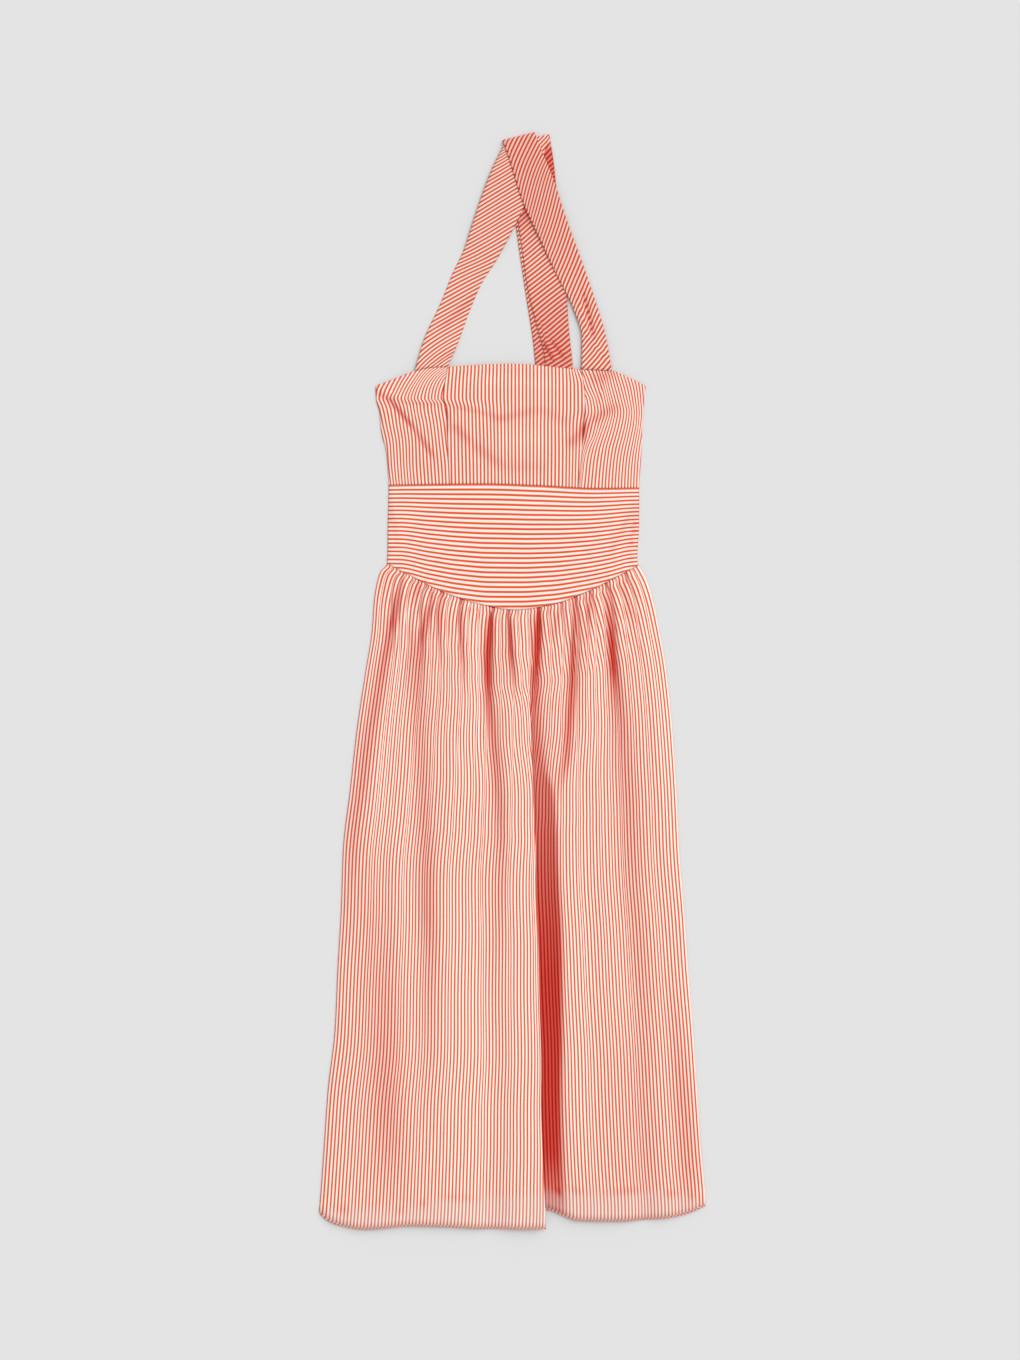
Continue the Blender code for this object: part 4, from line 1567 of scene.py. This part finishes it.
@dataclass
class Skirt:
    """The gathered skirt: a front with creases, long folds and one deep fold, over a plainer back.

    Lengths are in millimetres unless a heading says metres.
    """

    shape: Silhouette
    wardrobe: Wardrobe

    # The front's grid
    rows: int = 150
    columns_per_gather: int = 10
    row_bias: float = 0.24

    # Flat sizes in metres, and the share of each that the cloth fills
    front_cut: tuple[float, float] = (0.64, 0.945)
    front_fill: float = 0.965
    back_cut: tuple[float, float] = (0.60, 0.925)
    back_fill: float = 0.95

    # How the creases run down, and how the cloth puffs up between them
    crease_drift: float = 150.0
    onset: float = 12.0
    at_seam: float = 0.45
    puff: float = 0.45
    pinch: float = 0.16
    pinch_reach: float = 20.0
    softened_at: float = 70.0

    # Long folds, soft folds and slow unevenness
    fold_fade_in: float = 0.2
    fold_fade_out: float = 0.33
    long_fold_share: float = 0.75
    fold_relief: float = 1.4
    unevenness: float = 0.45
    uneven_from: float = 60.0

    # The deep fold
    fold_start: float = -20.0
    fold_full: float = 290.0
    fold_half_share: float = 0.02
    fold_overhang: float = 5.0
    fold_floor: float = 2.6
    wall_start: float = 1.8
    wall_steps: float = 2.6
    dark_steps: float = 1.2
    lip: float = 3.5
    lip_at: float = -1.5
    lip_steps: float = 3.0
    hidden_places: tuple[float, ...] = (0, 60, 150, 350, 550, 750, 938)
    hidden_cloth: tuple[float, ...] = (215, 165, 100, 68, 45, 24, 8)
    hidden_steps: float = 0.8

    # How the cloth dips at its edges
    side_reach: float = 12.0
    least_rise: float = 0.8
    side_dip: float = 1.3
    side_dip_width: float = 3.0
    seam_dip: float = 0.7
    seam_dip_width: float = 1.4

    # How much cloth is pressed into each crease and fold
    tucked_stretch: float = 6.0
    tucked_power: float = 1.2
    tuck_width: float = 0.9
    tuck_growth: float = 0.005
    dip_cloth: float = 0.01
    fold_cloth: float = 0.8

    # How much painted shade the front gets
    base_shade: float = 0.06
    crease_dark: float = 0.58
    crease_full: float = 4.0
    crease_dark_stretch: float = 0.6
    crease_dark_power: float = 1.2
    dark_width: float = 1.8
    dark_growth: float = 0.03
    seam_shade: float = 0.30
    seam_shade_width: float = 1.5
    back_hem_shade: float = 0.20
    back_hem_width: float = 2.2
    back_hem_above: float = 2.0

    # The back
    hem_radius_back: float = 0.7
    back_gathers: int = 26
    back_columns_per_gather: int = 6
    back_rows: int = 60
    back_row_bias: float = 1.5
    back_crease: float = 0.4
    back_crease_sharpness: int = 8
    back_crease_fade: float = 7.0
    back_crease_cloth: float = 3.0
    back_crease_shade: float = 0.5

    def below(self) -> np.ndarray:
        """How far the rows are below the seam, close together in the gathers."""
        t = np.linspace(0, 1, self.rows + 1)
        return SKIRT_LENGTH * (self.row_bias * t + (1 - self.row_bias) * t * t)

    def crease_depths(self) -> np.ndarray:
        """The creases' depths in one row, with nothing at the two sides."""
        return np.array([0.0, *(c.depth for c in CREASES), 0.0])[None, :]

    def crease_places(self, below: np.ndarray) -> np.ndarray:
        """Finds where the creases and the two sides are across the skirt.

        Args:
            below: The rows' distances below the seam.

        Returns:
            Shares across, row by row.
        """
        drift = ease(below / self.crease_drift)[:, None]
        settle = ease((below - self.crease_drift) / (SKIRT_LENGTH - self.crease_drift))[:, None]
        places = np.array([(crease.seam, crease.low, crease.hem) for crease in CREASES])
        seam, low, hem = (row[None, :] for row in places.T)
        middle = seam + (low - seam) * drift + (hem - low) * settle
        ends = np.ones((len(below), 1))
        return np.hstack([0 * ends, middle, ends])

    def crease_fade(self, below: np.ndarray, stretch: float, power: float) -> np.ndarray:
        """Finds how much of each crease is left, with nothing at the sides.

        Args:
            below: The rows' distances below the seam.
            stretch: How many times its own reach a crease lasts.
            power: How sharply it ends.

        Returns:
            Shares from 1 at the seam, row by row.
        """
        reach = np.array([c.reach for c in CREASES])[None, :] * stretch
        middle = np.exp(-((below[:, None] / reach) ** power))
        ends = np.zeros((len(below), 1))
        return np.hstack([ends, middle, ends])

    def gathers(self, below: np.ndarray) -> tuple[np.ndarray, np.ndarray]:
        """The shares across and the heights that the gathers add.

        Args:
            below: The rows' distances below the seam.

        Returns:
            The shares and the heights, row by row.
        """
        places = self.crease_places(below)
        opening = self.at_seam + (1 - self.at_seam) * ease(below / self.onset)[:, None]
        depth = self.crease_depths() * opening * self.crease_fade(below, 1.0, 2.0)
        t = np.arange(self.columns_per_gather) / self.columns_per_gather
        soft = ease(below / self.softened_at)[:, None, None]
        first, last = places[:, :-1, None], places[:, 1:, None]
        d_first, d_last = depth[:, :-1, None], depth[:, 1:, None]
        arch = np.sin(np.pi * t) * (1 - soft) + np.sin(np.pi * t) ** 2 * soft
        low = -(d_first + (d_last - d_first) * t)
        crest = self.puff * (d_first + d_last) / 2
        near_seam = bell(below / self.pinch_reach)[:, None, None]
        small = self.pinch * (d_first + d_last) * np.sin(2 * np.pi * t) ** 2 * near_seam
        share = (first + (last - first) * t).reshape(len(below), -1)
        height = (low + (crest - low) * arch - small).reshape(len(below), -1)
        ends = np.ones((len(below), 1))
        return np.hstack([share, ends]), np.hstack([height, 0 * ends])

    def long_folds(self, share: np.ndarray, below: np.ndarray, width: np.ndarray) -> np.ndarray:
        """How far the long soft folds lower the skirt.

        Args:
            share: Shares of the way across.
            below: Distances below the seam.
            width: The skirt's width at each point.

        Returns:
            The dips in millimetres.
        """
        dip = np.zeros_like(share)
        for fold in LONG_FOLDS:
            along = (below - fold.start) / (fold.end - fold.start)
            centre = fold.high + (fold.low - fold.high) * ease(along)
            fade = ease(along / self.fold_fade_in)
            if fold.end < SKIRT_LENGTH:
                fade = fade * ease((1 - along) / self.fold_fade_out)
            dip += fold.depth * fade * bell((share - centre) * width / fold.width)
        return dip

    def deep_fold(
        self, share: np.ndarray, below: np.ndarray, width: np.ndarray
    ) -> tuple[np.ndarray, np.ndarray, np.ndarray, np.ndarray, np.ndarray]:
        """Works out what the deep fold does, whose left flap hangs over a narrow valley.

        Args:
            share: Shares of the way across.
            below: Distances below the seam.
            width: The skirt's width at each point.

        Returns:
            The push sideways, the share of the valley, the valley's painted shadow, the lip's height, and
            the cloth that the fold hides.
        """
        strength = ease((below - self.fold_start) / (self.fold_full - self.fold_start))
        places = [s.below for s in DEEP_FOLD]
        centre = smooth(places, [s.share for s in DEEP_FOLD])(below)
        dark_to = smooth(places, [s.dark_to for s in DEEP_FOLD])(below)
        steps = (share - centre) / self.fold_half_share
        push = self.fold_half_share * width + self.fold_overhang
        shift = -strength * push * steps * np.exp((1 - steps * steps) / 2)
        valley = ease((steps + 1) / 2) * (1 - ease((steps - self.wall_start) / self.wall_steps))
        lip = self.lip * bell((steps - self.lip_at) / self.lip_steps)
        # Painted shadow on the valley's floor
        shadow = ease((steps + 1) / 2) * (1 - ease((steps - dark_to) / self.dark_steps))
        dark = smooth(places, [s.dark for s in DEEP_FOLD])(below) * shadow
        hidden = bell(steps / self.hidden_steps)
        return shift, strength * valley, dark, strength * lip, strength * hidden

    def front(self) -> ClothGrid:
        """Lays the front out.

        Returns:
            The front's cloth.
        """
        half = SEAM_GAP / 2
        basque, hem, back_hem = edge_curve(BASQUE), edge_curve(HEM), edge_curve(BACK_HEM)
        rows = self.below()
        share, gather = self.gathers(rows)
        below = np.repeat(rows[:, None], share.shape[1], axis=1)
        down = below / SKIRT_LENGTH
        left_top, right_top = BASQUE[0].drop + half, BASQUE[-1].drop + half
        left = self.shape.left(left_top + (HEM[0].drop - left_top) * down)
        right = self.shape.right(right_top + (HEM[-1].drop - right_top) * down)
        width = right - left
        top = basque(share) + half
        drop = top + (hem(share) - top) * down
        across = left + width * share
        crown = self.shape.rise(drop) * (1 - np.abs(2 * share - 1) ** self.shape.squareness(drop))
        dip = self.long_fold_share * self.long_folds(share, below, width)
        folds = fold_shade(SKIRT_FOLDS, across, drop)
        uneven = ripple(across, drop, self.unevenness) * ease(below / self.uneven_from)
        rise = crown + gather - dip - self.fold_relief * folds + uneven
        shift, valley, dark, lip, hidden = self.deep_fold(share, below, width)
        rise = rise + lip
        rise = rise + (self.fold_floor - rise) * valley
        to_side = np.minimum(share, 1 - share) * width
        least = self.least_rise * np.clip(to_side / self.side_reach, 0, 1)
        rise = (rise + np.sqrt(rise * rise + 4 * least * least)) / 2
        rise = rise - self.side_dip * bell(to_side / self.side_dip_width)
        rise = rise - self.seam_dip * bell(below / self.seam_dip_width)
        height = np.maximum(FRONT_BASE + WALL / 2 + rise, LOWEST_FRONT)
        across = across + shift
        over = self.cloth_count(rows, across, height, left, width, dip, hidden)
        # Painted shade: all over, down the soft folds, in the deep fold and in the gathers' creases
        shade = self.base_shade + folds + dark + self.crease_shade(rows, across, left, width)
        above_hem = back_hem(share) - drop
        backed = ease(above_hem / 2.0 + 0.5)
        # Painted shade along the line where the back's hem lies under the front
        at_back_hem = bell((above_hem - self.back_hem_above) / self.back_hem_width)
        shade = shade + self.back_hem_shade * at_back_hem
        return ClothGrid(across, drop, height, over, drop, shade, backed)

    def cloth_count(
        self,
        rows: np.ndarray,
        across: np.ndarray,
        height: np.ndarray,
        left: np.ndarray,
        width: np.ndarray,
        dip: np.ndarray,
        hidden: np.ndarray,
    ) -> np.ndarray:
        """Counts the cloth across the stripes, which is as wide in every row as the panel was cut.

        Args:
            rows: The rows' distances below the seam.
            across: Places across.
            height: Heights over the table.
            left: The left side's place at each point.
            width: The skirt's width at each point.
            dip: The long folds' depths.
            hidden: The share of cloth that the deep fold hides.

        Returns:
            Millimetres of cloth from the left side.
        """
        places = self.crease_places(rows) * width[:, :1] + left[:, :1]
        weights = self.crease_depths() * self.crease_fade(rows, self.tucked_stretch, self.tucked_power)
        in_creases = smooth(self.hidden_places, self.hidden_cloth)(rows)[:, None]
        swallowed = weights / weights.sum(axis=1, keepdims=True) * in_creases
        spread = (self.tuck_width + self.tuck_growth * rows)[:, None]
        middle = (across[:, 1:] + across[:, :-1]) / 2
        arc = np.hypot(np.diff(across, axis=1), np.diff(height, axis=1))
        density = np.ones_like(middle) * (SKIRT_CLOTH - in_creases) / arc.sum(axis=1, keepdims=True)
        for k in range(1, places.shape[1] - 1):
            peak = swallowed[:, k : k + 1] / (spread * math.sqrt(math.pi))
            density += peak * bell((middle - places[:, k : k + 1]) / spread)
        density += self.dip_cloth * (dip[:, 1:] + dip[:, :-1]) / 2
        density += self.fold_cloth * (hidden[:, 1:] + hidden[:, :-1]) / 2
        steps = arc * density
        total = np.hstack([np.zeros((len(rows), 1)), np.cumsum(steps, axis=1)])
        return total / total[:, -1:] * SKIRT_CLOTH

    def crease_shade(
        self, rows: np.ndarray, across: np.ndarray, left: np.ndarray, width: np.ndarray
    ) -> np.ndarray:
        """Paints shade deep in each gather's crease, where the cloth lies darker and redder.

        Args:
            rows: The rows' distances below the seam.
            across: Places across.
            left: The left side's place at each point.
            width: The skirt's width at each point.

        Returns:
            Painted shade, from 0 in the open.
        """
        places = self.crease_places(rows) * width[:, :1] + left[:, :1]
        full = (self.crease_depths() / self.crease_full) ** self.crease_dark_power
        dark = self.crease_dark * full * self.crease_fade(rows, self.crease_dark_stretch, 2.0)
        spread = (self.dark_width + self.dark_growth * rows)[:, None]
        shade = np.zeros_like(across)
        for k in range(1, places.shape[1] - 1):
            shade += dark[:, k : k + 1] * bell((across - places[:, k : k + 1]) / spread)
        return shade + self.seam_shade * bell(rows / self.seam_shade_width)[:, None]

    def build(self) -> None:
        """Makes the front and the back with their rolled hems."""
        cloth = self.front()
        piece = cloth.make("cloth_skirt_front", self.wardrobe.skirt, CLOTH)
        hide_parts("skirt_front")
        hem = RolledHem("hem_skirt_front", cloth.points()[-1], cloth.over[-1]).make(self.wardrobe.hem)
        LOG.info("%s: %d points", piece.name, cloth.across.size)

        back = self.back()
        piece = back.make("cloth_skirt_back", self.wardrobe.inside, CLOTH)
        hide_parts("skirt_back")
        hem = RolledHem(
            "hem_skirt_back", back.points()[-1], back.over[-1], radius=self.hem_radius_back
        ).make(self.wardrobe.hem)
        LOG.info("%s: %d points", piece.name, back.across.size)

    def back(self) -> ClothGrid:
        """Lays the back out flat on the table, with shallow gathers under the band.

        Returns:
            The back's cloth.
        """
        half = SEAM_GAP / 2
        basque, hem = edge_curve(BASQUE), edge_curve(BACK_HEM)
        columns = np.linspace(0, 1, self.back_gathers * self.back_columns_per_gather + 1)
        rows = np.linspace(0, 1, self.back_rows + 1) ** self.back_row_bias
        share, down = np.meshgrid(columns, rows)
        top = basque(share) + half
        drop = top + (hem(share) - top) * down
        left_top, right_top = BASQUE[0].drop + half, BASQUE[-1].drop + half
        left = self.shape.left(left_top + (BACK_HEM[0].drop - left_top) * down)
        right = self.shape.right(right_top + (BACK_HEM[-1].drop - right_top) * down)
        across = left + (right - left) * share
        crease = np.cos(math.pi * self.back_gathers * share) ** self.back_crease_sharpness
        crease = crease * np.exp(-down * self.back_crease_fade)
        height = WALL / 2 - SEAM_GAP / 2 + self.back_crease * crease
        density = 1 + self.back_crease_cloth * (crease[:, 1:] + crease[:, :-1]) / 2
        total = np.cumsum(np.diff(across, axis=1) * density, axis=1)
        total = np.hstack([np.zeros((len(down), 1)), total])
        over = total / total[:, -1:] * self.back_cut[0] / MM
        shade = self.back_crease_shade * crease
        return ClothGrid(across, drop, height, over, drop, shade, np.ones_like(across))


@dataclass
class Strap:
    """A neck strap: one piece from the front bodice over the nape and down behind to the back."""

    name: str
    front: list[Section]
    behind: list[Section]
    base: np.ndarray
    slant: float
    behind_slant: float
    crumples: Sequence[Crumple]
    # Painted shade on the front run, from its base up to the nape
    shade_low: float
    shade_high: float
    rests_on: str
    columns: int = 24
    step: float = 5.0
    fold_steps: int = 10
    width: float = 0.046
    bend_reach: float = 12.0

    # How the strap rolls down near its edges, and the painted shade it gets there, each over a width in
    # millimetres
    off_table: float = 0.3
    layer_slack: float = 0.1
    edge_roll: float = 0.7
    edge_roll_width: float = 2.2
    edge_shade: float = 0.12
    edge_shade_width: float = 1.2

    def run(self, sections: Sequence[Section], base: np.ndarray | None) -> np.ndarray:
        """Rows of points along one run of the strap, smoothly through its sections.

        Args:
            sections: The sections, in order.
            base: A row to start from, or None.

        Returns:
            Points in millimetres of across, drop and height, row by row.
        """
        mids = [((s.left_across + s.right_across) / 2, (s.left_drop + s.right_drop) / 2) for s in sections]
        stations = np.concatenate([[0], np.cumsum([math.dist(a, b) for a, b in zip(mids, mids[1:])])])
        columns = list(zip(*sections))
        if base is not None:
            gap = math.dist(base[:, :2].mean(axis=0), mids[0])
            stations = np.concatenate([[0], stations + gap])
            first = (*base[0, :2], *base[-1, :2], base[:, 2].mean())
            columns = [(value, *column) for value, column in zip(first, columns)]
        places = np.linspace(0, stations[-1], max(2, round(stations[-1] / self.step)) + 1)
        left_x, left_d, right_x, right_d, height = (smooth(stations, c)(places)[:, None] for c in columns)
        t = np.linspace(0, 1, self.columns + 1)[None, :]
        points = np.stack(
            [left_x + (right_x - left_x) * t, left_d + (right_d - left_d) * t, height + 0 * t], axis=-1
        )
        if base is not None:
            bend = ease(1 - places / self.bend_reach)[:, None, None]
            along = np.linspace(0, 1, len(base))
            target = np.stack([np.interp(t[0], along, base[:, k]) for k in range(3)], -1)
            points = points + (target[None] - points[:1]) * bend
        return points

    def fold(self, upper: np.ndarray, lower: np.ndarray) -> np.ndarray:
        """Lays the rows round the fold at the nape.

        Args:
            upper: The upper layer's last row.
            lower: The lower layer's first row.

        Returns:
            The rows between them.
        """
        along = (upper[-1] - upper[0])[:2]
        outward = np.array([along[1], -along[0]]) / np.linalg.norm(along)
        radius = (upper[0][2] - lower[0][2]) / 2
        middle = (upper[0][2] + lower[0][2]) / 2
        rows = []
        for step in range(1, self.fold_steps):
            angle = math.pi * step / self.fold_steps
            row = upper.copy()
            row[:, :2] += outward * radius * math.sin(angle)
            row[:, 2] = middle + radius * math.cos(angle)
            rows.append(row)
        return np.array(rows)

    def threads(self, points: np.ndarray, slant: float) -> np.ndarray:
        """Counts the cloth across the stripes of a strap, which is cut on the bias.

        Args:
            points: Rows of points along one run.
            slant: The stripes' turn from square across the strap, in degrees.

        Returns:
            Millimetres of cloth across the stripes.
        """
        middle = points[:, points.shape[1] // 2, :2]
        steps = np.linalg.norm(np.diff(middle, axis=0), axis=1)
        station = np.concatenate([[0], np.cumsum(steps)])[:, None]
        wide = np.linalg.norm(points[:, -1, :2] - points[:, 0, :2], axis=1)[:, None]
        side = (np.linspace(-0.5, 0.5, points.shape[1])[None, :]) * wide
        angle = math.radians(slant)
        return station * math.cos(angle) - side * math.sin(angle)

    def build(self, material: bpy.types.Material) -> bpy.types.Object:
        """Makes the strap.

        Args:
            material: Its finish.

        Returns:
            The piece.
        """
        upper = self.run(self.front, self.base)
        lower = self.run(self.behind, None)
        turn = self.fold(upper[-1], lower[0])
        front_over = self.threads(upper, self.slant)
        behind_over = self.threads(lower, self.behind_slant)
        rise, jog, shade = crumple_field(self.crumples, upper[..., 0], upper[..., 1])
        upper[..., 2] += rise
        back_rise, back_jog, back_shade = crumple_field(RETURN_CRUMPLES, lower[..., 0], lower[..., 1])
        lower[..., 2] += back_rise * (lower[..., 2] > SECOND - self.layer_slack)
        t = np.arange(1, self.fold_steps)[:, None] / self.fold_steps
        turn_over = front_over[-1:] + t * math.pi * (upper[-1, 0, 2] - lower[0, 0, 2]) / 2
        points = np.concatenate([upper, turn, lower])
        over = np.concatenate([front_over + jog, turn_over, behind_over + back_jog])
        climb = np.linspace(0, 1, len(upper))[:, None]
        shade = shade + self.shade_low + (self.shade_high - self.shade_low) * ease(climb)
        turn_shade = self.shade_high + 0 * turn_over
        # Painted shade on the front run, round the fold and on the return run
        deep = np.concatenate([shade, turn_shade, back_shade + RETURN_SHADE(lower[..., 1])])
        edge = np.minimum(np.arange(self.columns + 1), np.arange(self.columns, -1, -1)) / self.columns
        distance = edge[None, :] * self.width / MM
        raised = points[..., 2] > ON_TABLE + self.off_table
        points[..., 2] -= self.edge_roll * bell(distance / self.edge_roll_width) * raised
        deep = deep + self.edge_shade * bell(distance / self.edge_shade_width)
        flipped = points[::-1]
        cloth = ClothGrid(
            flipped[..., 0], flipped[..., 1], flipped[..., 2], over[::-1], flipped[..., 1], deep[::-1],
            np.ones_like(over),
        )
        piece = cloth.make("cloth_" + self.name, material, STRAP_CLOTH)
        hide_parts(self.name)
        return piece


@dataclass
class Straps:
    """The two neck straps, which cross at the nape."""

    shape: Silhouette
    wardrobe: Wardrobe
    base_columns: int = 12

    def base(self, top: Sequence[Edge], first: float, last: float) -> np.ndarray:
        """A strap's lower end, along the top edge of a side front.

        Args:
            top: The side front's top edge.
            first: The share of that edge where the strap starts.
            last: The share where it ends.

        Returns:
            Points in millimetres.
        """
        share = np.linspace(first, last, self.base_columns + 1)
        drop = edge_curve(top)(share)
        half = SEAM_GAP / 2
        if top is LEFT_ARMHOLE:
            left, right = self.shape.left(drop), self.shape.seam_left(drop) - half
        else:
            left, right = self.shape.seam_right(drop) + half, self.shape.right(drop)
        across = left + (right - left) * share
        height = self.shape.front_height(across, drop)
        return np.stack([across, drop - SEAM_GAP, height], axis=-1)

    def left(self) -> Strap:
        """Sets out the left strap, which passes under the right one.

        Returns:
            The strap.
        """
        return Strap(
            "strap_left",
            [
                Section(-127, 302, -80, 312, 3.4),
                Section(-101, 244, -60, 258, ON_TABLE),
                Section(-85, 204, -43, 219, ON_TABLE),
                Section(-69, 171, -22, 186, 2.4),
                Section(-55, 128, 2, 142, THIRD),
                Section(-30, 58, 34, 72, THIRD),
                Section(-10.5, 17.5, 55, 5.0, THIRD),
            ],
            [
                Section(-10.5, 17.5, 55, 5.0, SECOND),
                Section(4, 50, 61, 44, SECOND),
                Section(6, 99, 66, 92, SECOND),
                Section(15, 171, 75, 167, SECOND),
                Section(24, 231, 80, 232, SECOND),
                Section(38, 287, 83, 285, SECOND),
                Section(48, 328, 88, 333, SECOND),
                Section(52, 397, 92, 397, SECOND),
            ],
            self.base(LEFT_ARMHOLE, LEFT_STRAP_START, 1),
            slant=50.0, behind_slant=-36.0, crumples=LEFT_STRAP_CRUMPLES,
            shade_low=0.13, shade_high=0.20, rests_on="cloth_strap_right",
        )

    def right(self) -> Strap:
        """Sets out the right strap, which lies on top.

        Returns:
            The strap.
        """
        end = BACK_NECK_DROP - SEAM_GAP
        return Strap(
            "strap_right",
            [
                Section(102, 300, 136, 294, 4.8),
                Section(89, 255, 121, 244, THIRD),
                Section(65, 207, 104, 194, 4.6),
                Section(40, 154, 81, 131, FOURTH),
                Section(15, 99, 59, 65, FOURTH),
                Section(-3, 42, 43, 26, FOURTH),
                Section(-12, 15.0, 34, 3.4, FOURTH),
            ],
            [
                Section(-12, 15.0, 34, 3.4, ON_TABLE),
                Section(-7, 55, 43, 48, ON_TABLE),
                Section(1, 99, 50, 91, ON_TABLE),
                Section(10, 164, 58, 161, ON_TABLE),
                Section(22, 244, 66, 238, ON_TABLE),
                Section(31, 302, 71, 299, ON_TABLE),
                Section(35, 341, 77, 341, ON_TABLE),
                Section(41, end, 79, end, ON_TABLE),
            ],
            self.base(RIGHT_ARMHOLE, 0, RIGHT_STRAP_END),
            slant=46.0, behind_slant=-36.0, crumples=RIGHT_STRAP_CRUMPLES,
            shade_low=0.20, shade_high=0.38, rests_on="floor",
        )

    def build(self) -> None:
        """Makes both straps."""
        for strap in (self.left(), self.right()):
            strap.build(self.wardrobe.strap)


class Lamp(NamedTuple):
    """A soft distant lamp: its strength, its turn from overhead and how wide it is, in degrees."""

    name: str
    strength: float
    tilt: tuple[float, float, float]
    angle: float


@dataclass
class Studio:
    """A plain pale floor, even soft light with a softer key from the upper right, and the camera."""

    camera_height: float = 5.0
    camera_across: float = -0.0022
    frame_height: float = 1.972
    sensor: float = 36.0
    floor_size: float = 14.0
    floor_drop: float = 0.0003
    floor_colour: tuple[float, float, float, float] = (0.705, 0.705, 0.705, 1.0)
    floor_roughness: float = 0.9
    floor_specular: float = 0.1
    sky: float = 0.60
    lamps: tuple[Lamp, ...] = (
        Lamp("key", 1.494, (-18.0, 20.0, 0.0), 40.0),
        Lamp("side", 0.50, (-40.0, 52.0, 0.0), 25.0),
    )

    def build(self) -> None:
        """Sets the floor, the lights and the camera."""
        scene = bpy.context.scene
        scene.view_settings.view_transform = "Standard"
        half = self.floor_size / 2
        mesh = bpy.data.meshes.new("floor")
        corners = [(-half, -half), (half, -half), (half, half), (-half, half)]
        mesh.from_pydata([(x, y, -self.floor_drop) for x, y in corners], [], [(0, 1, 2, 3)])
        floor = bpy.data.objects.new("floor", mesh)
        scene.collection.objects.link(floor)
        paper = bpy.data.materials.new("paper_floor")
        paper.use_nodes = True
        shader = paper.node_tree.nodes["Principled BSDF"]
        shader.inputs["Base Color"].default_value = self.floor_colour
        shader.inputs["Roughness"].default_value = self.floor_roughness
        shader.inputs["Specular IOR Level"].default_value = self.floor_specular
        mesh.materials.append(paper)

        world = bpy.data.worlds.new("soft_room")
        world.use_nodes = True
        world.node_tree.nodes["Background"].inputs["Color"].default_value = (1.0, 1.0, 1.0, 1.0)
        world.node_tree.nodes["Background"].inputs["Strength"].default_value = self.sky
        scene.world = world

        for lamp in self.lamps:
            light = bpy.data.lights.new(lamp.name, "SUN")
            light.energy = lamp.strength
            light.angle = math.radians(lamp.angle)
            placed = bpy.data.objects.new(lamp.name, light)
            placed.rotation_euler = tuple(math.radians(a) for a in lamp.tilt)
            scene.collection.objects.link(placed)

        lens = bpy.data.cameras.new("camera")
        lens.sensor_width = self.sensor
        lens.lens = self.sensor / self.frame_height * self.camera_height
        camera = bpy.data.objects.new("camera", lens)
        camera.location = (self.camera_across, 0.0, self.camera_height)
        scene.collection.objects.link(camera)
        scene.camera = camera
        LOG.info("studio: lens %.1f mm", lens.lens)


def main() -> None:
    """Builds the dress piece by piece in its studio."""
    logging.basicConfig(level=logging.INFO, format="%(name)s: %(message)s")
    Studio().build()
    shape, wardrobe = Silhouette(), Wardrobe()
    Skirt(shape, wardrobe).build()
    Waistband(shape, wardrobe).build()
    Bodice(shape, wardrobe).build()
    Straps(shape, wardrobe).build()


if __name__ == "__main__":
    main()
